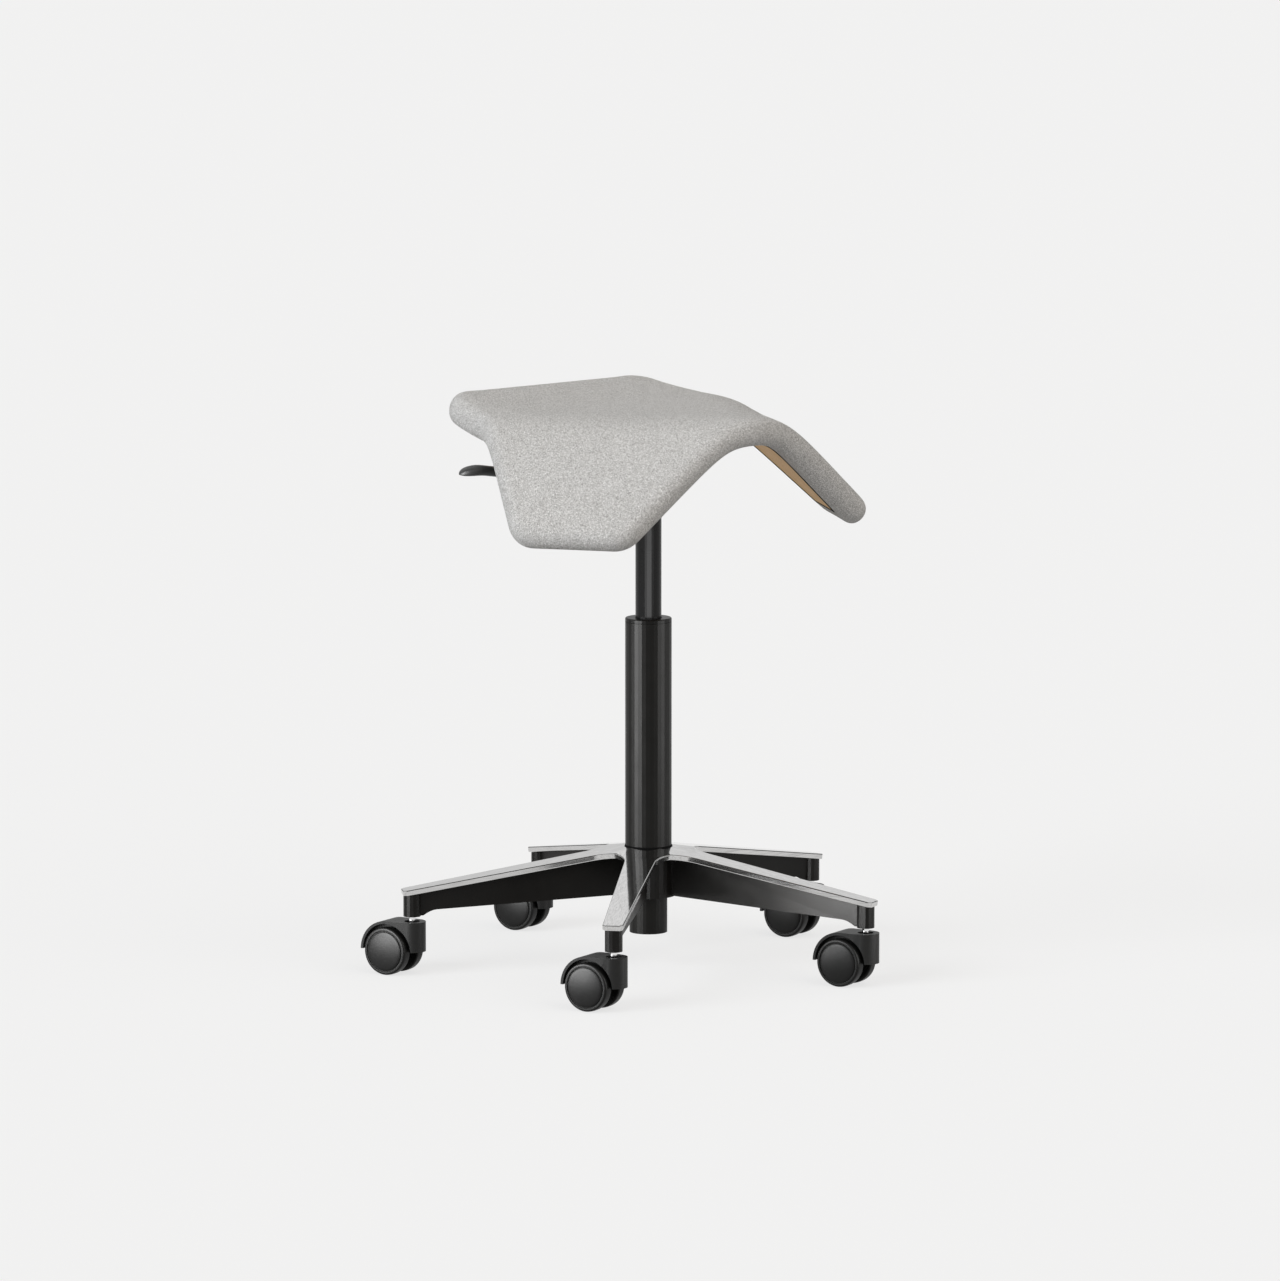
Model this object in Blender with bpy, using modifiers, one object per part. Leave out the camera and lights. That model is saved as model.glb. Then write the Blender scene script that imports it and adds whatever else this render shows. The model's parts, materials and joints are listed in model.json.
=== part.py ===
"""Saddle chair: padded saddle seat on a gas-lift column and a five-armed base with twin-wheel casters.

Metres, +Z up. The origin is on the floor under the column's axis and the seat faces -Y.
Headings are degrees from the seat's front (-Y), positive towards +X.
"""

import math

import bmesh
import bpy
import numpy as np

for old in list(bpy.data.objects):
    bpy.data.objects.remove(old, do_unlink=True)

# Clearances
CLEARANCE = 0.0003
WELD = 0.00001
OVERCUT = 0.001

# Casters
WHEEL_R = 0.0258
WHEEL_HALF_TRACK = 0.0195
WHEEL_WIDTH = 0.0115
WHEEL_DISC_R = 0.0211
WHEEL_DISC_DOME = 0.0008
WHEEL_GROOVE = 0.0010
WHEEL_EDGE = 0.0018
WHEEL_CAP_WALL = 0.0030
AXLE_R = 0.0030
CASTER_TRAIL = 0.0234
CASTER_HEADING = -164.9
FENDER_GAP = 0.0037
FENDER_WALL = 0.0029
FENDER_LIP_DEG = 0.5
HOOD_HALF_WIDTH = 0.0158
HOOD_BACK_R = 0.0147
HOOD_BACK_DEPTH = 0.0322
HOOD_KNEE = 0.0117
HOOD_RECESS_R = 0.0085
HOOD_RECESS = 0.0030
HOOD_WEB_GAP = 0.0012
AXLE_BOSS_R = 0.0095
AXLE_BOSS_HALF_DEG = 45.0
STEM_R = 0.0038
STEM_NECK = 0.0056
STEM_SEAT_DEPTH = 0.0240
STEM_CHAMFER = 0.0008

# Base
ARM_COUNT = 5
FIRST_ARM_HEADING = -51.6
CASTER_CIRCLE_R = 0.2570
SOCKET_R = 0.0094
SOCKET_HEIGHT = 0.0223
SOCKET_ROOF = 0.0050
PLATE_THICK = 0.0060
PLATE_BEVEL = 0.0007
PLATE_BEVEL_DEG = 50.0
PLATE_RISE = 0.0406
PLATE_TIP_REACH = 0.0112
PLATE_TIP_CHAMFER = 0.0040
PLATE_TIP_NARROW = 0.0032
PLATE_HALF_ROOT = 0.0168
PLATE_HALF_TIP = 0.0107
PLATE_ROOT_R = 0.0620
PLATE_FILLET_R = 0.0320
PLATE_GROOVE = 0.0006
RIB_HALF = 0.0022
RIB_DRAFT = 0.0010
RIB_SET = 0.0016
RIB_DROP = 0.0118
RIB_CURL = 0.0150
RIB_CURL_SET = 0.0025
RIB_CURL_STOP = 0.0006
RIB_INTO_SOCKET = 0.0031
HUB_DEPTH = 0.0473
HUB_WALL = 0.0038
HUB_STEP = 0.0004

# Column and gas spring
TUBE_R = 0.0250
TUBE_WALL = 0.0020
TUBE_HEIGHT = 0.2433
STUB_R = 0.0204
STUB_LENGTH = 0.0400
STUB_FLARE = 0.0160
STUB_FLARE_SET = 0.0080
CAP_HEIGHT = 0.0042
CAP_CHAMFER = 0.0008
SLEEVE_LENGTH = 0.0860
PRESSURE_R = 0.0140
PRESSURE_WALL = 0.0020
PRESSURE_ROOF = 0.0040
PRESSURE_INSERT = 0.1100
ROD_EXPOSED = 0.1451
TAPER_LENGTH = 0.0260
TAPER_DRAW = 0.0007
PISTON_ROD_R = 0.0050
PISTON_HEIGHT = 0.0120
PISTON_ABOVE_GLAND = 0.0360
GLAND_HEIGHT = 0.0140
WASHER_THICK = 0.0016
WASHER_R = 0.0130
CAGE_THICK = 0.0030
ROD_SHOULDER = 0.0040
ROD_SHOULDER_R = 0.0085
ROD_TAIL = 0.0009
BUMPER_HEIGHT = 0.0180
BUMPER_R = 0.0130
CLIP_THICK = 0.0016
CLIP_R = 0.0085
RELEASE_PIN_R = 0.0032
RELEASE_PIN_LENGTH = 0.0200
RELEASE_PIN_STAND = 0.0038

# Seat bracket and lever
BRACKET_PLATE = (0.090, 0.080)
BRACKET_THICK = 0.0040
BRACKET_CORNER = 0.0080
BRACKET_WALL = 0.0085
LEVER_HEADING = -108.0
LEVER_WIDTH = 0.0100
LEVER_DEPTH = 0.0080
LEVER_HEADROOM = 0.0045
LEVER_PIVOT_OUT = 0.0340
LEVER_BEND_OUT = 0.0600
LEVER_GRIP_OUT = 0.1240
LEVER_REACH = 0.2212
LEVER_DROP = 0.0082
LEVER_FINGER = 0.0050
LEVER_SWING_DEG = 4.0
LEVER_PIVOT_R = 0.0030
LEVER_CHEEK = 0.0040
LEVER_INSERT = 0.0300
GRIP_HALF_WIDTH = 0.0130
GRIP_HALF_DEPTH = 0.0056
GRIP_NECK_HALF = 0.0081
GRIP_TIP_DEPTH = 0.0018
GRIP_FLARE = 0.0486
GRIP_NOSE = 0.0240
GRIP_EDGE = 0.0007
GRIP_BLUNT = 0.03
GRIP_SQUARENESS = 0.72
SCREW_SPREAD = (0.034, 0.030)
SCREW_R = 0.0028
SCREW_HEAD_R = 0.0055
SCREW_HEAD = 0.0030
SCREW_HEAD_CHAMFER = 0.0010
TEE_NUT_FLANGE_R = 0.0090
TEE_NUT_FLANGE = 0.0012
TEE_NUT_BARREL_R = 0.0042

# Seat
SEAT_THICK = 0.0326
SHELL_THICK = 0.0100
SHELL_INSET = 0.0100
SEAT_REAR = 0.1556
SEAT_FRONT = 0.1566
WING_HALF = 0.1326
NOTCH = (0.1546, -0.0765)
FLAP_BACK = (0.2249, 0.0506)
FLAP_FRONT = (0.1693, 0.1380)
WING_CORNER_R = 0.0236
NOTCH_R = 0.0260
FLAP_CORNER_R = 0.0160
FLAP_FALL_DEG = 44.4
FLAP_TURN_DEG = 33.0
FLAP_CREASE = 0.1210
CREASE_SOFTNESS = 0.0119
SEAT_FLAT_HALF = 0.0450
REAR_RISE = 0.0152
REAR_RISE_POWER = 1.425
FRONT_RISE = 0.0047

# Facets
SMOOTH_DEG = 35.0
SHEET_STEP = 0.0005
ROUND_STEPS = 36
SMALL_STEPS = 16
FINE_STEPS = 12
WHEEL_STEPS = 24
HOOD_STEPS = 28
BULLNOSE_STEPS = 4
CORNER_STEPS = 4
FILLET_STEPS = 5
LIP_STEPS = 7
HOOD_BACK_STEPS = 10
BOSS_STEPS = 4
CURL_STEPS = 4
GRIP_STEPS = 16
OUTLINE_STEP = 0.030
SEAT_RINGS = (0.26, 0.42, 0.62, 0.82)
SHELL_RINGS = (0.27, 0.50, 0.76)
GRIP_STATIONS = (0.0, 0.04, 0.40, 0.75, 0.84, 0.91, 0.96, 0.99, 1.0)

# Heights above the floor, from the wheels up
FENDER_INNER_R = WHEEL_R + FENDER_GAP
FENDER_OUTER_R = FENDER_INNER_R + FENDER_WALL
HOOD_TOP = WHEEL_R + FENDER_OUTER_R
SOCKET_BOTTOM = HOOD_TOP + STEM_NECK
PLATE_TIP_R = CASTER_CIRCLE_R + PLATE_TIP_REACH
PLATE_HOLE_R = TUBE_R + PLATE_GROOVE
PLATE_SLOPE = PLATE_RISE / (PLATE_TIP_R - TUBE_R)
PLATE_DEPTH = PLATE_THICK * math.hypot(1.0, PLATE_SLOPE)
PLATE_TIP_TOP = SOCKET_BOTTOM + SOCKET_HEIGHT + CLEARANCE + PLATE_DEPTH
PLATE_HUB_TOP = PLATE_TIP_TOP + PLATE_RISE
HUB_TOP = PLATE_HUB_TOP - PLATE_DEPTH - CLEARANCE
HUB_BOTTOM = HUB_TOP - HUB_DEPTH
FLARE_TOP = HUB_TOP - STUB_FLARE_SET
FLARE_LOW = FLARE_TOP - STUB_FLARE
STUB_BOTTOM = HUB_BOTTOM - STUB_LENGTH
SEAM_Z = PLATE_HUB_TOP + TUBE_HEIGHT
CAP_BASE = SEAM_Z + CLEARANCE
CAP_TOP = CAP_BASE + CAP_HEIGHT
BRACKET_BOTTOM = CAP_TOP + ROD_EXPOSED
PRESSURE_BOTTOM = CAP_TOP - PRESSURE_INSERT
PRESSURE_TOP = BRACKET_BOTTOM + TAPER_LENGTH
PIN_TOP = PRESSURE_TOP + RELEASE_PIN_STAND
LEVER_Z = PIN_TOP + CLEARANCE + LEVER_DEPTH / 2
PLATE_UNDER = LEVER_Z + LEVER_DEPTH / 2 + LEVER_HEADROOM
BRACKET_TOP = PLATE_UNDER + BRACKET_THICK
SHELL_BOTTOM = BRACKET_TOP + CLEARANCE
SHELL_TOP = SHELL_BOTTOM + SHELL_THICK
SEAT_MID = SHELL_BOTTOM + SEAT_THICK / 2


def collection(name):
    made = bpy.data.collections.new(name)
    bpy.context.scene.collection.children.link(made)
    return made


PARTS = collection("saddle_chair")
CUTTERS = collection("cutters")


def material(name, colour, roughness, metallic=0.0):
    made = bpy.data.materials.new(name)
    made.use_nodes = True
    shader = made.node_tree.nodes["Principled BSDF"]
    shader.inputs["Base Color"].default_value = (*colour, 1.0)
    shader.inputs["Roughness"].default_value = roughness
    shader.inputs["Metallic"].default_value = metallic
    return made


FABRIC = material("grey_fabric", (0.52, 0.52, 0.51), 0.95)
PLYWOOD = material("birch_plywood", (0.72, 0.53, 0.33), 0.55)
POLISHED = material("polished_aluminium", (0.78, 0.78, 0.79), 0.12, 1.0)
BLACK_PAINT = material("black_paint", (0.015, 0.015, 0.016), 0.38)
BLACK_PLASTIC = material("black_plastic", (0.018, 0.018, 0.019), 0.45)
STEEL = material("bright_steel", (0.62, 0.62, 0.63), 0.22, 1.0)
RUBBER = material("black_rubber", (0.02, 0.02, 0.02), 0.8)
NYLON = material("white_nylon", (0.75, 0.74, 0.70), 0.5)


def empty(name, location=(0.0, 0.0, 0.0), turn=0.0, parent=None):
    made = bpy.data.objects.new(name, None)
    made.location = location
    made.rotation_euler = (0.0, 0.0, turn)
    made.parent = parent
    PARTS.objects.link(made)
    return made


def place(name, mesh, finish, parent=None, location=(0.0, 0.0, 0.0), rotation=(0.0, 0.0, 0.0)):
    made = bpy.data.objects.new(name, mesh)
    made.location = location
    made.rotation_euler = rotation
    made.parent = parent
    PARTS.objects.link(made)
    if finish and not mesh.materials:
        mesh.materials.append(finish)
    return made


def finished_mesh(name, bm):
    bmesh.ops.recalc_face_normals(bm, faces=bm.faces)
    mesh = bpy.data.meshes.new(name)
    bm.to_mesh(mesh)
    bm.free()
    mesh.shade_smooth()
    mesh.set_sharp_from_angle(angle=math.radians(SMOOTH_DEG))
    return mesh


def evaluated_mesh(thing):
    """The mesh of an object with its modifiers applied; the object and its cutters are removed."""
    bpy.context.view_layer.update()
    graph = bpy.context.evaluated_depsgraph_get()
    mesh = bpy.data.meshes.new_from_object(thing.evaluated_get(graph))
    operands = [m.object for m in thing.modifiers if m.type == "BOOLEAN"]
    for used in [thing, *operands]:
        bpy.data.objects.remove(used, do_unlink=True)
    mesh.shade_smooth()
    mesh.set_sharp_from_angle(angle=math.radians(SMOOTH_DEG))
    return mesh


def combine(target, other, operation="DIFFERENCE"):
    """Cuts other out of target, or joins it on; other becomes a hidden guide."""
    for holder in list(other.users_collection):
        holder.objects.unlink(other)
    CUTTERS.objects.link(other)
    other.hide_render = True
    other.display_type = "WIRE"
    step = target.modifiers.new(operation.lower(), "BOOLEAN")
    step.operation = operation
    step.object = other
    return target


def turned_mesh(name, profile, steps, ring=False):
    """A turned solid: (radius, height) points down the outer side, back up the bore if it is a ring."""
    count = len(profile)
    mesh = bpy.data.meshes.new(name)
    edges = [(i, i + 1) for i in range(count - 1)]
    if ring:
        edges.append((count - 1, 0))
    mesh.from_pydata([(radius, 0.0, height) for radius, height in profile], edges, [])
    blank = place(name, mesh, None)
    screw = blank.modifiers.new("turn", "SCREW")
    screw.steps = steps
    screw.render_steps = steps
    screw.use_merge_vertices = True
    screw.merge_threshold = WELD
    return evaluated_mesh(blank)


def tube_profile(outer, inner, bottom, top):
    return [(outer, top), (outer, bottom), (inner, bottom), (inner, top)]


def rod_profile(radius, bottom, top):
    return [(0.0, top), (radius, top), (radius, bottom), (0.0, bottom)]


def box_mesh(name, low, high):
    bm = bmesh.new()
    bmesh.ops.create_cube(bm, size=1.0)
    size = [b - a for a, b in zip(low, high)]
    middle = [(a + b) / 2 for a, b in zip(low, high)]
    bmesh.ops.scale(bm, vec=size, verts=bm.verts)
    bmesh.ops.translate(bm, vec=middle, verts=bm.verts)
    return finished_mesh(name, bm)


def prism_mesh(name, outline, half_depth):
    """A flat outline in the XZ plane, thickened evenly along Y."""
    bm = bmesh.new()
    face = bm.faces.new([bm.verts.new((x, -half_depth, z)) for x, z in outline])
    grown = bmesh.ops.extrude_face_region(bm, geom=[face])
    moved = [v for v in grown["geom"] if isinstance(v, bmesh.types.BMVert)]
    bmesh.ops.translate(bm, vec=(0.0, 2 * half_depth, 0.0), verts=moved)
    return finished_mesh(name, bm)


def lofted_mesh(name, loops, start_tip=None, end_tip=None):
    """A closed skin through equal loops of points, each end filled flat or drawn to a tip."""
    bm = bmesh.new()
    rings = [[bm.verts.new(point) for point in loop] for loop in loops]
    count = len(rings[0])
    for near, far in zip(rings, rings[1:]):
        for i in range(count):
            j = (i + 1) % count
            bm.faces.new((near[i], near[j], far[j]))
            bm.faces.new((near[i], far[j], far[i]))
    for ring, tip in ((rings[0], start_tip), (rings[-1], end_tip)):
        if tip is None:
            bm.faces.new(ring)
            continue
        centre = bm.verts.new(tip)
        for i in range(count):
            bm.faces.new((ring[i], ring[(i + 1) % count], centre))
    return finished_mesh(name, bm)


def arc(centre, radius, start_deg, end_deg, steps):
    angles = np.radians(np.linspace(start_deg, end_deg, steps + 1))
    return [(centre[0] + radius * math.cos(a), centre[1] + radius * math.sin(a)) for a in angles]


def bearing_turn(heading):
    """Rotation about Z that lays local +X along a heading."""
    return math.radians(heading - 90.0)


def heading_point(heading, radius, height=0.0):
    turn = bearing_turn(heading)
    return (radius * math.cos(turn), radius * math.sin(turn), height)


# Seat sheet: the middle surface of the padded saddle
def sheet_height(side, forward):
    """Height of the sheet: a rear-rising deck softly cut by two falling flap planes."""
    side = np.abs(np.asarray(side, float))
    forward = np.asarray(forward, float)
    back = np.clip(-forward - SEAT_FLAT_HALF, 0.0, None) / (SEAT_REAR - SEAT_FLAT_HALF)
    ahead = np.clip(forward - SEAT_FLAT_HALF, 0.0, None) / (SEAT_FRONT - SEAT_FLAT_HALF)
    deck = REAR_RISE * back**REAR_RISE_POWER + FRONT_RISE * ahead
    turn = math.radians(FLAP_TURN_DEG)
    fall = math.tan(math.radians(FLAP_FALL_DEG))
    near = fall * (FLAP_CREASE - side * math.cos(turn) - forward * math.sin(turn))
    far = fall * (FLAP_CREASE + side * math.cos(turn) - forward * math.sin(turn))
    layers = np.stack([deck, near, far]) / CREASE_SOFTNESS
    lowest = layers.min(axis=0)
    return SEAT_MID + CREASE_SOFTNESS * (lowest - np.log(np.exp(lowest - layers).sum(axis=0)))


def sheet_normal(side, forward):
    step = SHEET_STEP
    across = (sheet_height(side + step, forward) - sheet_height(side - step, forward)) / (2 * step)
    along = (sheet_height(side, forward + step) - sheet_height(side, forward - step)) / (2 * step)
    normal = np.stack([-across, along, np.ones_like(across)], axis=-1)
    return normal / np.linalg.norm(normal, axis=-1, keepdims=True)


def sheet_points(plan, offset):
    """Points over a plan of (side, forward) pairs, offset along the sheet's normal."""
    side, forward = plan[:, 0], plan[:, 1]
    points = np.stack([side, -forward, sheet_height(side, forward)], axis=-1)
    return points + offset * sheet_normal(side, forward)


def rounded_outline(corners, radii):
    """A closed plan outline with its corners rounded and its straight runs divided."""
    corners = np.asarray(corners, float)
    spans = []
    for index, corner in enumerate(corners):
        towards = corners[index - 1] - corner
        onward = corners[(index + 1) % len(corners)] - corner
        towards /= np.linalg.norm(towards)
        onward /= np.linalg.norm(onward)
        if radii[index] == 0.0:
            spans.append([corner])
            continue
        half = math.acos(float(np.clip(towards @ onward, -1.0, 1.0))) / 2
        inward = (towards + onward) / np.linalg.norm(towards + onward)
        middle = corner + inward * radii[index] / math.sin(half)
        first = corner + towards * radii[index] / math.tan(half) - middle
        last = corner + onward * radii[index] / math.tan(half) - middle
        start = math.atan2(first[1], first[0])
        sweep = (math.atan2(last[1], last[0]) - start + math.pi) % (2 * math.pi) - math.pi
        angles = start + sweep * np.linspace(0.0, 1.0, CORNER_STEPS + 1)
        spans.append([middle + radii[index] * np.array([math.cos(a), math.sin(a)]) for a in angles])
    outline = []
    for index, span in enumerate(spans):
        after = spans[(index + 1) % len(spans)][0]
        pieces = max(1, math.ceil(float(np.linalg.norm(after - span[-1])) / OUTLINE_STEP))
        outline += span + [span[-1] + (after - span[-1]) * k / pieces for k in range(1, pieces)]
    return np.array(outline)


def seat_outline():
    """Plan of the sheet's edge: rear wing, notch, flap and front arch, mirrored about the middle."""
    half = [(WING_HALF, -SEAT_REAR), NOTCH, FLAP_BACK, FLAP_FRONT]
    radii = [WING_CORNER_R, NOTCH_R, FLAP_CORNER_R, FLAP_CORNER_R]
    corners = half + [(0.0, SEAT_FRONT)] + [(-side, forward) for side, forward in reversed(half)]
    return rounded_outline(corners, radii + [0.0] + radii[::-1])


def edge_outward(outline):
    """Unit vectors that point out of the sheet's edge, in the sheet."""
    rim = sheet_points(outline, 0.0)
    along = np.roll(rim, -1, axis=0) - np.roll(rim, 1, axis=0)
    outward = np.cross(sheet_normal(outline[:, 0], outline[:, 1]), along)
    outward /= np.linalg.norm(outward, axis=1, keepdims=True)
    radial = np.einsum("ij,ij->i", outward[:, :2], rim[:, :2])
    return outward * np.sign(radial.sum())


def inset_outline(outline, inset):
    outward = edge_outward(outline)
    return outline - inset * np.stack([outward[:, 0], -outward[:, 1]], axis=-1)


def deck_loops(outline, offset, shares):
    """Loops that fill the sheet from its edge inwards, and the tip in the middle."""
    loops = [sheet_points(outline * share, offset) for share in (1.0, *reversed(shares))]
    return loops, sheet_points(np.zeros((1, 2)), offset)[0]


def build_seat(swivel):
    outline = seat_outline()
    half = SEAT_THICK / 2
    outward = edge_outward(outline)
    upward = sheet_normal(outline[:, 0], outline[:, 1])
    rim = sheet_points(outline, 0.0)
    top, top_tip = deck_loops(outline, half, SEAT_RINGS)
    bullnose = []
    for angle in np.linspace(math.pi / 2, -math.pi / 2, BULLNOSE_STEPS + 1)[1:]:
        bullnose.append(rim + half * (math.cos(angle) * outward + math.sin(angle) * upward))
    pocket = inset_outline(outline, SHELL_INSET - CLEARANCE)
    ceiling, ceiling_tip = deck_loops(pocket, SHELL_THICK + CLEARANCE - half, SHELL_RINGS)
    loops = [*reversed(top), *bullnose, sheet_points(pocket, -half), *ceiling]
    cushion = lofted_mesh("seat_cushion", loops, top_tip, ceiling_tip)
    place("seat_cushion", cushion, FABRIC, swivel)

    panel = inset_outline(outline, SHELL_INSET)
    under, under_tip = deck_loops(panel, -half, SHELL_RINGS)
    over, over_tip = deck_loops(panel, SHELL_THICK - half, SHELL_RINGS)
    shell = lofted_mesh("seat_shell", [*reversed(under), *over], under_tip, over_tip)
    blank = place("shell_blank", shell, PLYWOOD)
    for x, y in screw_places():
        flange = SHELL_TOP - TEE_NUT_FLANGE - CLEARANCE
        profile = [
            (0.0, SHELL_TOP + OVERCUT),
            (TEE_NUT_FLANGE_R + CLEARANCE, SHELL_TOP + OVERCUT),
            (TEE_NUT_FLANGE_R + CLEARANCE, flange),
            (TEE_NUT_BARREL_R + CLEARANCE, flange),
            (TEE_NUT_BARREL_R + CLEARANCE, SHELL_BOTTOM - OVERCUT),
            (0.0, SHELL_BOTTOM - OVERCUT),
        ]
        hole = place("tee_hole", turned_mesh("tee_hole", profile, FINE_STEPS), None, location=(x, y, 0.0))
        combine(blank, hole)
    place("seat_shell", evaluated_mesh(blank), PLYWOOD, swivel)


def screw_places():
    return [(x, y) for x in (-SCREW_SPREAD[0], SCREW_SPREAD[0]) for y in (-SCREW_SPREAD[1], SCREW_SPREAD[1])]


def build_fasteners(swivel):
    bore = SCREW_R + CLEARANCE
    flange = SHELL_TOP - TEE_NUT_FLANGE
    nut_profile = [
        (TEE_NUT_FLANGE_R, SHELL_TOP),
        (TEE_NUT_FLANGE_R, flange),
        (TEE_NUT_BARREL_R, flange),
        (TEE_NUT_BARREL_R, SHELL_BOTTOM + CLEARANCE),
        (bore, SHELL_BOTTOM + CLEARANCE),
        (bore, SHELL_TOP),
    ]
    head_top = PLATE_UNDER - CLEARANCE
    screw_profile = [
        (0.0, SHELL_TOP - CLEARANCE),
        (SCREW_R, SHELL_TOP - CLEARANCE),
        (SCREW_R, head_top),
        (SCREW_HEAD_R, head_top),
        (SCREW_HEAD_R, head_top - SCREW_HEAD + SCREW_HEAD_CHAMFER),
        (SCREW_HEAD_R - SCREW_HEAD_CHAMFER, head_top - SCREW_HEAD),
        (0.0, head_top - SCREW_HEAD),
    ]
    nut = turned_mesh("tee_nut", nut_profile, FINE_STEPS, ring=True)
    screw = turned_mesh("seat_screw", screw_profile, FINE_STEPS)
    for index, (x, y) in enumerate(screw_places(), start=1):
        place(f"tee_nut_{index}", nut, STEEL, swivel, (x, y, 0.0))
        place(f"seat_screw_{index}", screw, STEEL, swivel, (x, y, 0.0))


def pressure_outer(height):
    """Radius of the pressure tube's outside at a height: straight, then drawn to its top."""
    share = max(0.0, (height - BRACKET_BOTTOM) / TAPER_LENGTH)
    return PRESSURE_R - TAPER_DRAW * share


def build_bracket(swivel):
    width, depth = BRACKET_PLATE
    flat = bmesh.new()
    bmesh.ops.create_cube(flat, size=1.0)
    bmesh.ops.scale(flat, vec=(width, depth, BRACKET_THICK), verts=flat.verts)
    uprights = [e for e in flat.edges if abs(e.verts[0].co.z - e.verts[1].co.z) > BRACKET_THICK / 2]
    bmesh.ops.bevel(flat, geom=uprights, offset=BRACKET_CORNER, segments=CORNER_STEPS, affect="EDGES")
    bmesh.ops.translate(flat, vec=(0.0, 0.0, BRACKET_TOP - BRACKET_THICK / 2), verts=flat.verts)
    blank = place("bracket_blank", finished_mesh("seat_bracket", flat), BLACK_PAINT)
    boss_r = PRESSURE_R + BRACKET_WALL
    joint_z = PLATE_UNDER + BRACKET_THICK / 2
    boss = turned_mesh("socket", rod_profile(boss_r, BRACKET_BOTTOM, joint_z), ROUND_STEPS)
    combine(blank, place("socket", boss, None), "UNION")
    turn = (0.0, 0.0, bearing_turn(LEVER_HEADING))
    cheek_y = LEVER_WIDTH / 2 + CLEARANCE + LEVER_CHEEK
    cheek_low = LEVER_Z - LEVER_PIVOT_R - LEVER_CHEEK
    cheek_out = LEVER_PIVOT_OUT + LEVER_PIVOT_R + LEVER_CHEEK
    cheeks = box_mesh("cheeks", (PRESSURE_R, -cheek_y, cheek_low), (cheek_out, cheek_y, joint_z))
    combine(blank, place("cheeks", cheeks, None, rotation=turn), "UNION")
    gap = CLEARANCE
    bore = [
        (0.0, BRACKET_TOP + OVERCUT),
        (pressure_outer(PRESSURE_TOP) + gap, BRACKET_TOP + OVERCUT),
        (pressure_outer(PRESSURE_TOP) + gap, PRESSURE_TOP),
        (PRESSURE_R + gap, BRACKET_BOTTOM),
        (PRESSURE_R + gap, BRACKET_BOTTOM - OVERCUT),
        (0.0, BRACKET_BOTTOM - OVERCUT),
    ]
    combine(blank, place("taper_bore", turned_mesh("taper_bore", bore, ROUND_STEPS), None))
    slot_y = LEVER_WIDTH / 2 + CLEARANCE
    slot_low = LEVER_Z - LEVER_DEPTH / 2 - LEVER_PIVOT_OUT * math.radians(LEVER_SWING_DEG) - OVERCUT
    slot = box_mesh("slot", (0.0, -slot_y, slot_low), (cheek_out + OVERCUT, slot_y, PLATE_UNDER))
    combine(blank, place("slot", slot, None, rotation=turn))
    through = cheek_y + OVERCUT
    pin_hole = turned_mesh("pin_hole", rod_profile(LEVER_PIVOT_R + gap, -through, through), SMALL_STEPS)
    pivot = heading_point(LEVER_HEADING, LEVER_PIVOT_OUT, LEVER_Z)
    combine(blank, place("pin_hole", pin_hole, None, None, pivot, (math.pi / 2, 0.0, turn[2])))
    screw_hole = rod_profile(SCREW_R + gap, PLATE_UNDER - OVERCUT, BRACKET_TOP + OVERCUT)
    for x, y in screw_places():
        hole = place("screw_hole", turned_mesh("screw_hole", screw_hole, FINE_STEPS), None)
        hole.location = (x, y, 0.0)
        combine(blank, hole)
    place("seat_bracket", evaluated_mesh(blank), BLACK_PAINT, swivel)


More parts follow.
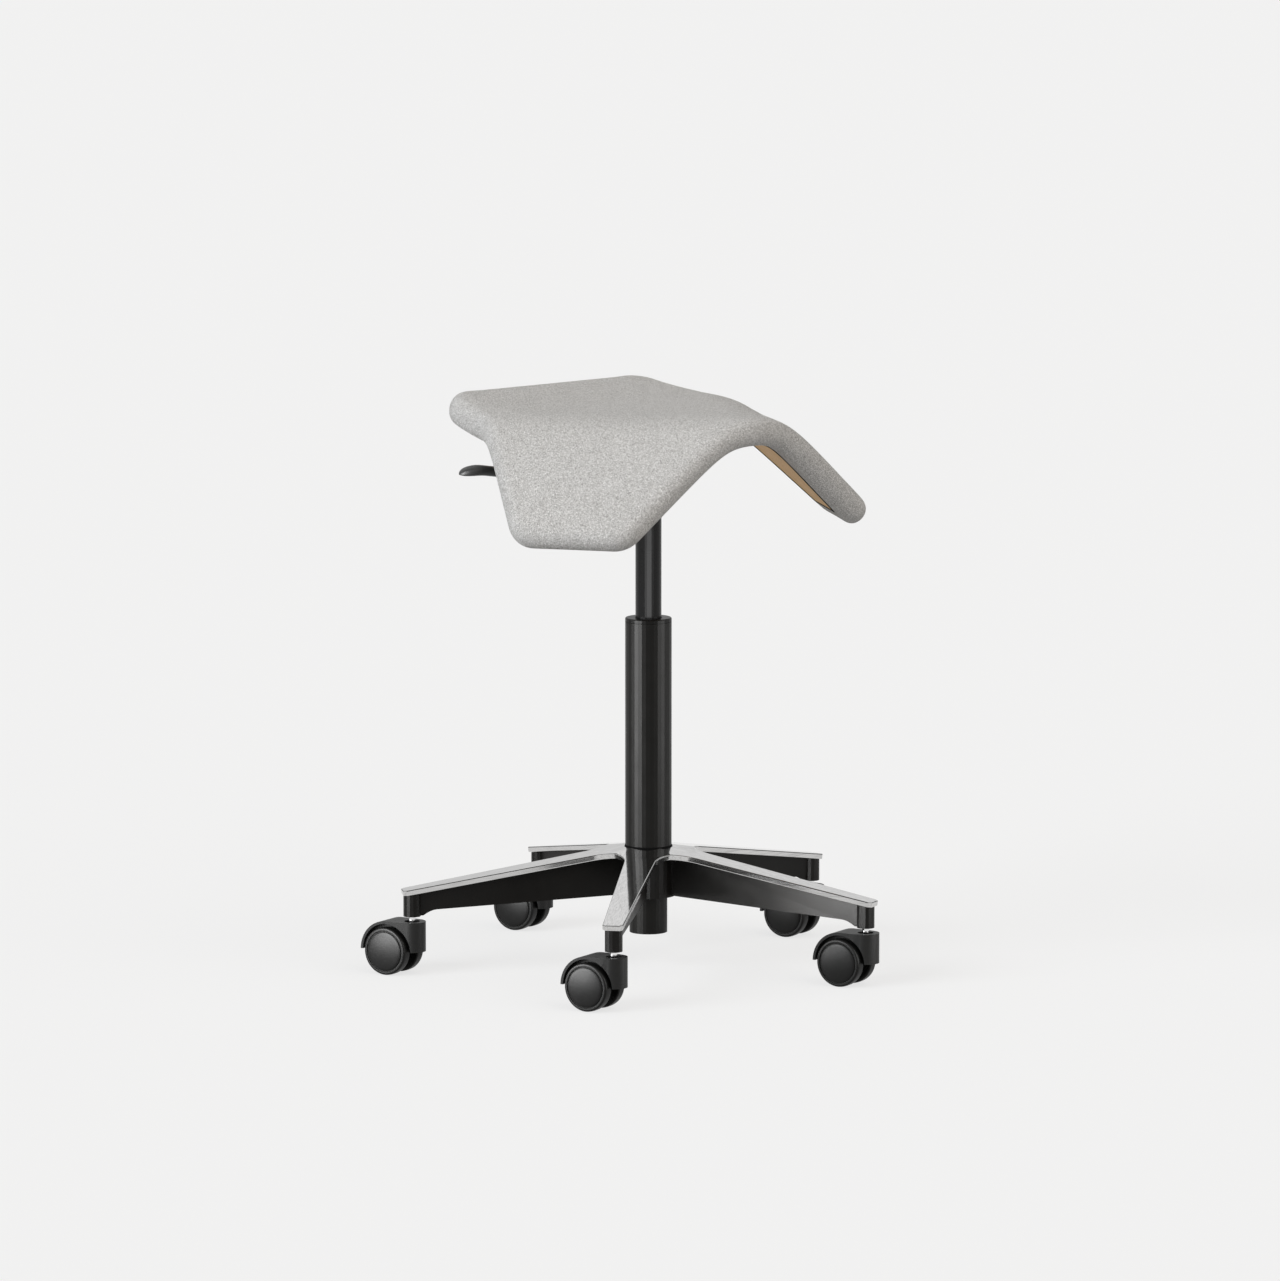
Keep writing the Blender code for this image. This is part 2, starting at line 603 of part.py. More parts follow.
def build_lever(swivel):
    turn = bearing_turn(LEVER_HEADING)
    pivot = empty("lever_axis", heading_point(LEVER_HEADING, LEVER_PIVOT_OUT, LEVER_Z), turn, swivel)
    half_pin = LEVER_WIDTH / 2 + CLEARANCE + LEVER_CHEEK
    pin = turned_mesh("lever_pivot", rod_profile(LEVER_PIVOT_R, -half_pin, half_pin), SMALL_STEPS)
    place("lever_pivot", pin, STEEL, pivot, rotation=(math.pi / 2, 0.0, 0.0))

    half = LEVER_DEPTH / 2
    tail = LEVER_GRIP_OUT + LEVER_INSERT - LEVER_PIVOT_OUT
    bend = LEVER_BEND_OUT - LEVER_PIVOT_OUT
    finger = -LEVER_PIVOT_OUT - LEVER_FINGER
    slope = LEVER_DROP / (LEVER_GRIP_OUT - LEVER_BEND_OUT)
    low = -(tail - bend) * slope
    lower = [(finger, -half), (bend, -half), (tail, low - half)]
    upper = [(tail, low + half), (bend, half), (finger, half)]
    blank = place("arm_blank", prism_mesh("lever_arm", lower + upper, LEVER_WIDTH / 2), BLACK_PAINT)
    through = LEVER_WIDTH / 2 + OVERCUT
    eye = turned_mesh("eye", rod_profile(LEVER_PIVOT_R + CLEARANCE, -through, through), SMALL_STEPS)
    combine(blank, place("eye", eye, None, rotation=(math.pi / 2, 0.0, 0.0)))
    place("lever_arm", evaluated_mesh(blank), BLACK_PAINT, pivot)

    start = LEVER_GRIP_OUT - LEVER_PIVOT_OUT
    angles = np.linspace(0.0, 2 * math.pi, GRIP_STEPS, endpoint=False)
    loops = []
    for share in GRIP_STATIONS:
        along = share * (LEVER_REACH - LEVER_GRIP_OUT)
        width, depth, droop = grip_section(along)
        z = -LEVER_DROP - min(along, LEVER_INSERT) * slope - droop
        ring = [(superround(math.cos(a)) * width, z + superround(math.sin(a)) * depth) for a in angles]
        loops.append([(start + along, y, z) for y, z in ring])
    grip = place("grip_blank", lofted_mesh("lever_handle", loops), BLACK_PLASTIC)
    spare = 2 * CLEARANCE
    hole = [
        (bend, -half - spare),
        (tail + spare, low - half - spare),
        (tail + spare, low + half + spare),
        (bend, half + spare),
    ]
    combine(grip, place("grip_hole", prism_mesh("grip_hole", hole, LEVER_WIDTH / 2 + CLEARANCE), None))
    place("lever_handle", evaluated_mesh(grip), BLACK_PLASTIC, pivot)


def grip_section(along):
    """Half width, half depth and droop of the handle at a distance from its mouth."""
    length = LEVER_REACH - LEVER_GRIP_OUT
    nose = max(0.0, (along - length + GRIP_NOSE) / GRIP_NOSE)
    swell = math.sqrt(max(GRIP_BLUNT, 1.0 - nose**2))
    width = GRIP_NECK_HALF + (GRIP_HALF_WIDTH - GRIP_NECK_HALF) * min(1.0, along / GRIP_FLARE)
    droop = (GRIP_HALF_DEPTH - GRIP_TIP_DEPTH) * (1.0 - swell)
    edge = GRIP_EDGE if along == 0.0 else 0.0
    return width * swell - edge, GRIP_HALF_DEPTH - droop - edge, droop


def superround(value):
    """Squares off a circle's sine or cosine a little, for a flat-sided oval."""
    return math.copysign(abs(value) ** GRIP_SQUARENESS, value)


def build_spring(swivel):
    inner = PRESSURE_R - PRESSURE_WALL
    roof = PRESSURE_TOP - PRESSURE_ROOF
    hole = RELEASE_PIN_R + CLEARANCE
    profile = [
        (pressure_outer(PRESSURE_TOP), PRESSURE_TOP),
        (PRESSURE_R, BRACKET_BOTTOM),
        (PRESSURE_R, PRESSURE_BOTTOM),
        (inner, PRESSURE_BOTTOM),
        (inner, BRACKET_BOTTOM),
        (inner - TAPER_DRAW, roof),
        (hole, roof),
        (hole, PRESSURE_TOP),
    ]
    tube = turned_mesh("pressure_tube", profile, ROUND_STEPS, ring=True)
    place("pressure_tube", tube, BLACK_PAINT, swivel)
    gland_top = PRESSURE_BOTTOM + GLAND_HEIGHT
    gland = tube_profile(inner - CLEARANCE, PISTON_ROD_R + CLEARANCE, PRESSURE_BOTTOM, gland_top)
    place("rod_gland", turned_mesh("rod_gland", gland, SMALL_STEPS, ring=True), NYLON, swivel)
    pin = rod_profile(RELEASE_PIN_R, PIN_TOP - RELEASE_PIN_LENGTH, PIN_TOP)
    place("release_pin", turned_mesh("release_pin", pin, SMALL_STEPS), STEEL, swivel)

    floor_top = STUB_BOTTOM + TUBE_WALL
    washer = floor_top + CLEARANCE
    cage = washer + WASHER_THICK + CLEARANCE
    upper = cage + CAGE_THICK + CLEARANCE
    shoulder = upper + WASHER_THICK + CLEARANCE
    bumper = shoulder + ROD_SHOULDER + CLEARANCE
    clip = STUB_BOTTOM - CLEARANCE - CLIP_THICK
    bore = PISTON_ROD_R + CLEARANCE
    washer_rings = (
        ("bearing_washer_lower", washer, WASHER_THICK, WASHER_R, STEEL, None),
        ("bearing_cage", cage, CAGE_THICK, WASHER_R, NYLON, swivel),
        ("bearing_washer_upper", upper, WASHER_THICK, WASHER_R, STEEL, swivel),
        ("bumper", bumper, BUMPER_HEIGHT, BUMPER_R, RUBBER, swivel),
        ("retaining_clip", clip, CLIP_THICK, CLIP_R, STEEL, swivel),
    )
    for name, base, thick, radius, finish, parent in washer_rings:
        profile = tube_profile(radius, bore, base, base + thick)
        place(name, turned_mesh(name, profile, SMALL_STEPS, ring=True), finish, parent)
    piston_low = gland_top + PISTON_ABOVE_GLAND
    piston_top = piston_low + PISTON_HEIGHT
    rod = [
        (0.0, piston_top + CLEARANCE),
        (PISTON_ROD_R, piston_top + CLEARANCE),
        (PISTON_ROD_R, shoulder + ROD_SHOULDER),
        (ROD_SHOULDER_R, shoulder + ROD_SHOULDER),
        (ROD_SHOULDER_R, shoulder),
        (PISTON_ROD_R, shoulder),
        (PISTON_ROD_R, clip - ROD_TAIL),
        (0.0, clip - ROD_TAIL),
    ]
    place("piston_rod", turned_mesh("piston_rod", rod, SMALL_STEPS), STEEL, swivel)
    piston = tube_profile(inner - CLEARANCE, bore, piston_low, piston_top)
    place("piston", turned_mesh("piston", piston, SMALL_STEPS, ring=True), NYLON, swivel)


def build_column():
    inner = TUBE_R - TUBE_WALL
    stub_inner = STUB_R - TUBE_WALL
    hole = PISTON_ROD_R + CLEARANCE
    floor_top = STUB_BOTTOM + TUBE_WALL
    profile = [
        (TUBE_R, SEAM_Z),
        (TUBE_R, FLARE_TOP),
        (STUB_R, FLARE_LOW),
        (STUB_R, STUB_BOTTOM),
        (hole, STUB_BOTTOM),
        (hole, floor_top),
        (stub_inner, floor_top),
        (stub_inner, FLARE_LOW),
        (inner, FLARE_TOP),
        (inner, SEAM_Z),
    ]
    place("column_tube", turned_mesh("column_tube", profile, ROUND_STEPS, ring=True), BLACK_PAINT)
    rod_hole = PRESSURE_R + CLEARANCE
    cap = [
        (rod_hole + CAP_CHAMFER, CAP_TOP),
        (TUBE_R - CAP_CHAMFER, CAP_TOP),
        (TUBE_R, CAP_TOP - CAP_CHAMFER),
        (TUBE_R, CAP_BASE),
        (rod_hole, CAP_BASE),
        (rod_hole, CAP_TOP - CAP_CHAMFER),
    ]
    place("column_cap", turned_mesh("column_cap", cap, ROUND_STEPS, ring=True), BLACK_PLASTIC)
    sleeve = tube_profile(inner - CLEARANCE, rod_hole, SEAM_Z - SLEEVE_LENGTH, SEAM_Z)
    place("guide_sleeve", turned_mesh("guide_sleeve", sleeve, ROUND_STEPS, ring=True), BLACK_PLASTIC)


def arm_headings():
    return [FIRST_ARM_HEADING + index * 360.0 / ARM_COUNT for index in range(ARM_COUNT)]


def plate_top(along):
    """Height of an arm's flat top at a distance along the arm."""
    return PLATE_HUB_TOP - PLATE_SLOPE * (along - TUBE_R)


def arm_half_width(along):
    share = (along - PLATE_ROOT_R) / (PLATE_TIP_R - PLATE_ROOT_R)
    return PLATE_HALF_ROOT + (PLATE_HALF_TIP - PLATE_HALF_ROOT) * share


def star_sector():
    """One arm's share of the star: two rows round the hub, then the rows along the arm."""
    sector = math.pi / ARM_COUNT
    taper = (PLATE_HALF_ROOT - PLATE_HALF_TIP) / (PLATE_TIP_R - PLATE_ROOT_R)
    lean = math.atan(taper)
    spread = math.sin(sector) + taper * math.cos(sector)
    reach = (PLATE_FILLET_R / math.cos(lean) + arm_half_width(0.0)) / spread
    centre = (reach * math.cos(sector), reach * math.sin(sector))
    first, last = 270.0 - math.degrees(lean), 180.0 + math.degrees(sector)
    left = arc(centre, PLATE_FILLET_R, first, last, FILLET_STEPS)
    root = left[0][0]
    edge = [(x, -y) for x, y in reversed(left)] + [(root, 0.0)] + left
    angles = np.linspace(-sector, sector, len(edge))
    inner = PLATE_HOLE_R - PLATE_THICK / 2
    hub = [(inner * math.cos(a), inner * math.sin(a)) for a in angles]
    full_end = PLATE_TIP_R - PLATE_TIP_CHAMFER
    rows = []
    for along in ((root + full_end) / 2, full_end, PLATE_TIP_R):
        cut = max(0.0, along - full_end) / PLATE_TIP_CHAMFER
        half = arm_half_width(along) - cut * PLATE_TIP_NARROW
        rows.append([(along, -half), (along, 0.0), (along, half)])
    return hub, edge, rows


def build_plate():
    inner, outer, rows = star_sector()
    bm = bmesh.new()
    for heading in arm_headings():
        turn = bearing_turn(heading)
        cos, sin = math.cos(turn), math.sin(turn)

        def vertex(point):
            x, y = point
            return bm.verts.new((x * cos - y * sin, x * sin + y * cos, plate_top(x)))

        hub, edge = [vertex(p) for p in inner], [vertex(p) for p in outer]
        strips = [edge[FILLET_STEPS:-FILLET_STEPS]] + [[vertex(p) for p in row] for row in rows]
        for low, high in [(hub, edge), *zip(strips, strips[1:])]:
            for i in range(len(low) - 1):
                bm.faces.new((low[i], high[i], high[i + 1], low[i + 1]))
    bmesh.ops.remove_doubles(bm, verts=bm.verts, dist=WELD)
    plate = place("base_plate", finished_mesh("base_plate", bm), POLISHED)
    thick = plate.modifiers.new("thickness", "SOLIDIFY")
    thick.thickness = PLATE_THICK
    thick.offset = -1.0
    thick.use_even_offset = True
    hole = rod_profile(PLATE_HOLE_R, HUB_BOTTOM, PLATE_HUB_TOP + PLATE_THICK)
    combine(plate, place("tube_hole", turned_mesh("tube_hole", hole, ROUND_STEPS), None))
    edge = plate.modifiers.new("edge", "BEVEL")
    edge.width = PLATE_BEVEL
    edge.segments = 1
    edge.limit_method = "ANGLE"
    edge.angle_limit = math.radians(PLATE_BEVEL_DEG)


def rib_under(radius):
    """Height of the ribs' lower edge, sloping gently and then curling down to the socket."""
    slope = RIB_DROP / (CASTER_CIRCLE_R - TUBE_R)
    straight = HUB_BOTTOM + RIB_SET - slope * (radius - TUBE_R)
    curl = min(1.0, max(0.0, (radius - curl_start()) / RIB_CURL))
    return straight - (straight - SOCKET_BOTTOM - RIB_CURL_STOP) * curl**2


def curl_start():
    return CASTER_CIRCLE_R - SOCKET_R - RIB_CURL_SET - RIB_CURL


def build_spider():
    under_plate = PLATE_DEPTH + CLEARANCE
    bore = STUB_R + CLEARANCE
    wide = TUBE_R + CLEARANCE
    outer = wide + HUB_WALL
    profile = [
        (wide, plate_top(wide) - under_plate - HUB_STEP),
        (outer, plate_top(outer) - under_plate - HUB_STEP),
        (outer, HUB_BOTTOM),
        (bore, HUB_BOTTOM),
        (bore, FLARE_LOW),
        (wide, FLARE_TOP),
    ]
    hub = place("hub_blank", turned_mesh("hub", profile, ROUND_STEPS, ring=True), BLACK_PAINT)
    curls = np.linspace(curl_start(), curl_start() + RIB_CURL, CURL_STEPS + 1)
    brow = RIB_HALF + RIB_DRAFT
    ribs = []
    for along in ((wide + outer) / 2, *curls, CASTER_CIRCLE_R + RIB_INTO_SOCKET):
        foot = rib_under(along)
        crown = plate_top(along) - under_plate - HUB_STEP / 2
        section = [(-RIB_HALF, foot), (RIB_HALF, foot), (brow, crown), (-brow, crown)]
        ribs.append([(along, y, z) for y, z in section])
    circle = arc((CASTER_CIRCLE_R, 0.0), SOCKET_R, 0.0, 360.0, SMALL_STEPS)[:-1]
    socket = [[(x, y, SOCKET_BOTTOM) for x, y in circle]]
    socket.append([(x, y, plate_top(x) - under_plate) for x, y in circle])
    roof = SOCKET_BOTTOM + SOCKET_HEIGHT - SOCKET_ROOF
    hole = rod_profile(STEM_R + CLEARANCE, SOCKET_BOTTOM - OVERCUT, roof)
    for heading in arm_headings():
        turn = (0.0, 0.0, bearing_turn(heading))
        spot = heading_point(heading, CASTER_CIRCLE_R)
        combine(hub, place("rib", lofted_mesh("rib", ribs), None, rotation=turn), "UNION")
        combine(hub, place("socket", lofted_mesh("socket", socket), None, rotation=turn), "UNION")
        between = (0.0, 0.0, turn[2] + math.pi / SMALL_STEPS)
        bore_mesh = turned_mesh("stem_hole", hole, SMALL_STEPS)
        combine(hub, place("stem_hole", bore_mesh, None, None, spot, between))
    place("base_spider", evaluated_mesh(hub), BLACK_PAINT)


def hood_mesh():
    """Caster housing: a fender over the wheels, a web between them and a round back at the stem."""
    axle = (CASTER_TRAIL, WHEEL_R)
    back = HOOD_BACK_R
    skirt = HOOD_TOP - HOOD_BACK_DEPTH
    lip = arc(axle, FENDER_OUTER_R, FENDER_LIP_DEG, 90.0, LIP_STEPS)
    boss = arc(axle, AXLE_BOSS_R, 270.0 - AXLE_BOSS_HALF_DEG, 270.0 + AXLE_BOSS_HALF_DEG, BOSS_STEPS)
    inner_lip = arc(axle, FENDER_INNER_R, FENDER_LIP_DEG, FENDER_LIP_DEG, 1)[0]
    outline = [*lip, (-back, HOOD_TOP), (-back, skirt), (axle[0] - FENDER_INNER_R, skirt), *boss, inner_lip]
    blank = place("hood_blank", prism_mesh("hood", outline, HOOD_HALF_WIDTH), BLACK_PLASTIC)
    combine(blank, place("rounding", hood_plan_mesh(), None), "INTERSECT")
    web = WHEEL_HALF_TRACK - WHEEL_WIDTH - HOOD_WEB_GAP
    well = rod_profile(FENDER_INNER_R, web, WHEEL_HALF_TRACK + FENDER_GAP)
    for side in (-1.0, 1.0):
        cutter = place("well", turned_mesh("well", well, HOOD_STEPS), None)
        cutter.location = (axle[0], 0.0, axle[1])
        cutter.rotation_euler = (-side * math.pi / 2, 0.0, 0.0)
        combine(blank, cutter)
    stem = rod_profile(STEM_R + CLEARANCE, HOOD_TOP - STEM_SEAT_DEPTH - CLEARANCE, HOOD_TOP + OVERCUT)
    combine(blank, place("stem_seat", turned_mesh("stem_seat", stem, SMALL_STEPS), None))
    recess = rod_profile(HOOD_RECESS_R, HOOD_TOP - HOOD_RECESS, HOOD_TOP + OVERCUT)
    combine(blank, place("stem_recess", turned_mesh("stem_recess", recess, SMALL_STEPS), None))
    through = HOOD_HALF_WIDTH + OVERCUT
    axle_hole = rod_profile(AXLE_R + CLEARANCE, -through, through)
    hole = place("axle_hole", turned_mesh("axle_hole", axle_hole, SMALL_STEPS), None)
    hole.location = (axle[0], 0.0, axle[1])
    hole.rotation_euler = (math.pi / 2, 0.0, 0.0)
    combine(blank, hole)
    return evaluated_mesh(blank)


def hood_plan_mesh():
    """Plan of the housing, drawn in to a round back, as a tall block."""
    front = CASTER_TRAIL + FENDER_OUTER_R + OVERCUT
    side = HOOD_HALF_WIDTH + OVERCUT
    back = arc((0.0, 0.0), HOOD_BACK_R, 90.0, 270.0, HOOD_BACK_STEPS)
    outline = [(HOOD_KNEE, -side), (front, -side), (front, side), (HOOD_KNEE, side), *back]
    bm = bmesh.new()
    face = bm.faces.new([bm.verts.new((x, y, -OVERCUT)) for x, y in outline])
    grown = bmesh.ops.extrude_face_region(bm, geom=[face])
    moved = [v for v in grown["geom"] if isinstance(v, bmesh.types.BMVert)]
    bmesh.ops.translate(bm, vec=(0.0, 0.0, HOOD_TOP + 2 * OVERCUT), verts=moved)
    return finished_mesh("rounding", bm)


def wheel_mesh():
    face = WHEEL_HALF_TRACK
    inside = WHEEL_HALF_TRACK - WHEEL_WIDTH
    bore = AXLE_R + CLEARANCE
    blind = face - WHEEL_CAP_WALL
    rim = WHEEL_DISC_R + WHEEL_GROOVE
    profile = [
        (0.0, face + WHEEL_DISC_DOME),
        (WHEEL_DISC_R, face),
        (WHEEL_DISC_R, face - WHEEL_GROOVE),
        (rim, face - WHEEL_GROOVE),
        (rim, face),
        (WHEEL_R - WHEEL_EDGE, face),
        (WHEEL_R, face - WHEEL_EDGE),
        (WHEEL_R, inside),
        (bore, inside),
        (bore, blind),
        (0.0, blind),
    ]
    return turned_mesh("wheel", profile, WHEEL_STEPS)


def build_casters():
    stem_top = SOCKET_BOTTOM + SOCKET_HEIGHT - SOCKET_ROOF - CLEARANCE
    stem_low = HOOD_TOP - STEM_SEAT_DEPTH
    stem = turned_mesh(
        "caster_stem",
        [
            (0.0, stem_top),
            (STEM_R - STEM_CHAMFER, stem_top),
            (STEM_R, stem_top - STEM_CHAMFER),
            (STEM_R, stem_low),
            (0.0, stem_low),
        ],
        SMALL_STEPS,
    )
    hood = hood_mesh()
    wheel = wheel_mesh()
    axle_half = WHEEL_HALF_TRACK - WHEEL_CAP_WALL - CLEARANCE
    axle = turned_mesh("caster_axle", rod_profile(AXLE_R, -axle_half, axle_half), SMALL_STEPS)
    turn = bearing_turn(CASTER_HEADING)
    for index, heading in enumerate(arm_headings(), start=1):
        spot = heading_point(heading, CASTER_CIRCLE_R)
        place(f"caster_stem_{index}", stem, STEEL, None, spot)
        swivel = empty(f"caster_swivel_{index}", spot, turn)
        place(f"caster_hood_{index}", hood, BLACK_PLASTIC, swivel)
        spin = empty(f"wheel_axis_{index}", (CASTER_TRAIL, 0.0, WHEEL_R), 0.0, swivel)
        place(f"caster_axle_{index}", axle, STEEL, spin, rotation=(math.pi / 2, 0.0, 0.0))
        place(f"wheel_left_{index}", wheel, BLACK_PLASTIC, spin, rotation=(-math.pi / 2, 0.0, 0.0))
        place(f"wheel_right_{index}", wheel, BLACK_PLASTIC, spin, rotation=(math.pi / 2, 0.0, 0.0))


seat_axis = empty("seat_axis")
build_seat(seat_axis)
build_fasteners(seat_axis)
build_bracket(seat_axis)
build_lever(seat_axis)
build_spring(seat_axis)
build_column()
build_plate()
build_spider()
build_casters()
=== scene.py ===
"""Looks of the saddle chair: upholstery, plywood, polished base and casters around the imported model."""

import json
import math

import bmesh
import bpy
import numpy as np
from mathutils import Matrix, Vector
from mathutils.kdtree import KDTree

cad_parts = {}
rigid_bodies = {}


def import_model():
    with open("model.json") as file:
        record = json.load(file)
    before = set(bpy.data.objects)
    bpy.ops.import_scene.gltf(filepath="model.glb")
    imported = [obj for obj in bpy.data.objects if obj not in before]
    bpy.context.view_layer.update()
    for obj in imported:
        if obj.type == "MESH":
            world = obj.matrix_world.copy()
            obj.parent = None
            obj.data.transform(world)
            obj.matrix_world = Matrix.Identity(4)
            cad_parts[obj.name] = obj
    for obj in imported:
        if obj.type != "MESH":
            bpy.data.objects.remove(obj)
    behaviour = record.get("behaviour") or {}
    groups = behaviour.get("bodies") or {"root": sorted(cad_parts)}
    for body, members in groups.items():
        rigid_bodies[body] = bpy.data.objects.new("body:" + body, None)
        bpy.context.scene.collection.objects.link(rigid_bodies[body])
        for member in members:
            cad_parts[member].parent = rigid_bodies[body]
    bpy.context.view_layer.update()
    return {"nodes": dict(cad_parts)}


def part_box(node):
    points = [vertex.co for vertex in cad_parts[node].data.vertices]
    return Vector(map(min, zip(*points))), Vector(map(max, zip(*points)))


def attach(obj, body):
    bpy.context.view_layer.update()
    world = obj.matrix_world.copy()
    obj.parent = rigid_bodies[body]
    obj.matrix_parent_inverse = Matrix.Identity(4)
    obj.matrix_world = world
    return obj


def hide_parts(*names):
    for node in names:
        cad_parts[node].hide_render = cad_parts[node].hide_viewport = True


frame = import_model()
scene = bpy.context.scene
nodes = frame["nodes"]

# Sizes that repeat the model's own, in metres
CLEARANCE = 0.0003
SEAT_THICK = 0.0326
SHELL_THICK = 0.0100
SHELL_INSET = 0.0100
SEAT_REAR = 0.1556
SEAT_FRONT = 0.1566
WING_HALF = 0.1326
NOTCH = (0.1546, -0.0765)
FLAP_BACK = (0.2249, 0.0506)
FLAP_FRONT = (0.1693, 0.1380)
WING_CORNER_R = 0.0236
NOTCH_R = 0.0260
FLAP_CORNER_R = 0.0160
FLAP_FALL = math.radians(44.4)
FLAP_TURN = math.radians(33.0)
FLAP_CREASE = 0.1210
CREASE_SOFTNESS = 0.0119
UNDER_SOFTNESS = 0.0098
SEAT_FLAT_HALF = 0.0450
REAR_RISE = 0.0156
REAR_RISE_POWER = 1.80
FRONT_RISE = 0.0047
ARM_COUNT = 5
FIRST_ARM_HEADING = -51.6
CASTER_CIRCLE_R = 0.2570
CASTER_HEADING = -164.9
TUBE_R = 0.0250
PLATE_HOLE_R = 0.0256
PLATE_THICK = 0.0060
PLATE_RISE = 0.0406
PLATE_TIP_R = 0.2682
PLATE_TIP_CHAMFER = 0.0040
PLATE_TIP_NARROW = 0.0032
PLATE_HALF_ROOT = 0.0168
PLATE_HALF_TIP = 0.0107
PLATE_ROOT_R = 0.0620
PLATE_FILLET_R = 0.0320
TUBE_HEIGHT = 0.2433
WHEEL_R = 0.0258
WHEEL_HALF_TRACK = 0.0195
WHEEL_WIDTH = 0.0115
WHEEL_DISC_R = 0.0211
CASTER_TRAIL = 0.0234
FENDER_INNER_R = 0.0295
FENDER_OUTER_R = 0.0324
HOOD_TOP = 0.0582
HOOD_HALF_WIDTH = 0.0158
HOOD_BACK_R = 0.0147
HOOD_SKIRT = 0.0260
HOOD_KNEE = 0.0117
HOOD_RECESS_R = 0.0085
HOOD_RECESS = 0.0030
AXLE_BOSS_R = 0.0095
STEM_R = 0.0038
LEVER_HEADING = -108.0
LEVER_PIVOT_OUT = 0.0340
LEVER_BEND_OUT = 0.0600
LEVER_GRIP_OUT = 0.1240
LEVER_REACH = 0.2212
LEVER_DROP = 0.0082
LEVER_INSERT = 0.0300
GRIP_HALF_WIDTH = 0.0130
GRIP_HALF_DEPTH = 0.0056
GRIP_NECK_HALF = 0.0081
GRIP_TIP_DEPTH = 0.0018
GRIP_FLARE = 0.0486
GRIP_NOSE = 0.0240
GRIP_SQUARENESS = 0.72

SHELL_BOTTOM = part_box("seat_bracket")[1].z + CLEARANCE
SEAT_MID = SHELL_BOTTOM + SEAT_THICK / 2


def bearing_turn(heading):
    """Rotation about Z that lays local +X along a heading from the seat's front."""
    return math.radians(heading - 90.0)


def heading_point(heading, radius, height=0.0):
    turn = bearing_turn(heading)
    return Vector((radius * math.cos(turn), radius * math.sin(turn), height))


def arm_headings():
    return [FIRST_ARM_HEADING + index * 360.0 / ARM_COUNT for index in range(ARM_COUNT)]


# Camera at the photo's station
CAMERA_AWAY = 7.9916
CAMERA_HEIGHT = 1.4770
CAMERA_PITCH = math.radians(7.987)
CAMERA_YAW = math.radians(-0.0649)
CAMERA_AZIMUTH = math.radians(43.5)
FOCAL_PIXELS = 7528.4
IMAGE_HEIGHT = 1281
SENSOR = 36.0
AWAY = Vector((math.sin(CAMERA_AZIMUTH), math.cos(CAMERA_AZIMUTH), 0.0))
RIGHT = Vector((math.cos(CAMERA_AZIMUTH), -math.sin(CAMERA_AZIMUTH), 0.0))
UP = Vector((0.0, 0.0, 1.0))


def make_camera():
    lens = bpy.data.cameras.new("camera")
    lens.sensor_fit = "VERTICAL"
    lens.sensor_height = SENSOR
    lens.sensor_width = SENSOR
    lens.lens = FOCAL_PIXELS * SENSOR / IMAGE_HEIGHT
    lens.clip_end = 200.0
    camera = bpy.data.objects.new("camera", lens)
    scene.collection.objects.link(camera)
    forward = AWAY * math.cos(CAMERA_PITCH) - UP * math.sin(CAMERA_PITCH)
    forward = Matrix.Rotation(-CAMERA_YAW, 3, "Z") @ forward
    camera.location = -AWAY * CAMERA_AWAY + UP * CAMERA_HEIGHT
    camera.rotation_euler = forward.to_track_quat("-Z", "Y").to_euler()
    scene.camera = camera


def smooth_step(share):
    share = np.clip(share, 0.0, 1.0)
    return share * share * (3.0 - 2.0 * share)


# Node helpers
class Graph:
    """A material's node tree with short ways to add and link nodes."""

    def __init__(self, name):
        self.material = bpy.data.materials.new(name)
        self.material.use_nodes = True
        self.tree = self.material.node_tree
        self.shader = self.tree.nodes["Principled BSDF"]

    def add(self, kind, **settings):
        node = self.tree.nodes.new(kind)
        for key, value in settings.items():
            setattr(node, key, value)
        return node

    def plug(self, socket, value):
        if isinstance(value, bpy.types.NodeSocket):
            self.tree.links.new(value, socket)
        else:
            socket.default_value = value

    def math(self, operation, *values, clamp=False):
        node = self.add("ShaderNodeMath", operation=operation, use_clamp=clamp)
        for socket, value in zip(node.inputs, values):
            self.plug(socket, value)
        return node.outputs[0]

    def span(self, value, low, high, to_low=0.0, to_high=1.0):
        node = self.add("ShaderNodeMapRange", clamp=True)
        given = {"Value": value, "From Min": low, "From Max": high, "To Min": to_low, "To Max": to_high}
        for key, number in given.items():
            self.plug(node.inputs[key], number)
        return node.outputs["Result"]

    def mix(self, factor, first, second, blend="MIX"):
        node = self.add("ShaderNodeMix", data_type="RGBA", blend_type=blend)
        self.plug(node.inputs["Factor"], factor)
        self.plug(node.inputs[6], first)
        self.plug(node.inputs[7], second)
        return node.outputs[2]

    def place(self, scale=(1.0, 1.0, 1.0), turn=0.0):
        coordinates = self.add("ShaderNodeTexCoord")
        mapping = self.add("ShaderNodeMapping")
        mapping.inputs["Scale"].default_value = scale
        mapping.inputs["Rotation"].default_value = (0.0, 0.0, turn)
        self.plug(mapping.inputs["Vector"], coordinates.outputs["Object"])
        return mapping.outputs["Vector"]

    def noise(self, vector, scale, detail=2.0, roughness=0.5):
        node = self.add("ShaderNodeTexNoise")
        self.plug(node.inputs["Vector"], vector)
        node.inputs["Scale"].default_value = scale
        node.inputs["Detail"].default_value = detail
        node.inputs["Roughness"].default_value = roughness
        return node.outputs["Fac"]

    def joined(self, x, y, z=0.0):
        node = self.add("ShaderNodeCombineXYZ")
        for socket, value in zip(node.inputs, (x, y, z)):
            self.plug(socket, value)
        return node.outputs[0]

    def bump(self, height, strength, distance):
        node = self.add("ShaderNodeBump")
        node.inputs["Strength"].default_value = strength
        node.inputs["Distance"].default_value = distance
        self.plug(node.inputs["Height"], height)
        return node.outputs["Normal"]

    def set(self, **values):
        for key, value in values.items():
            self.plug(self.shader.inputs[key.replace("_", " ")], value)
        return self.material


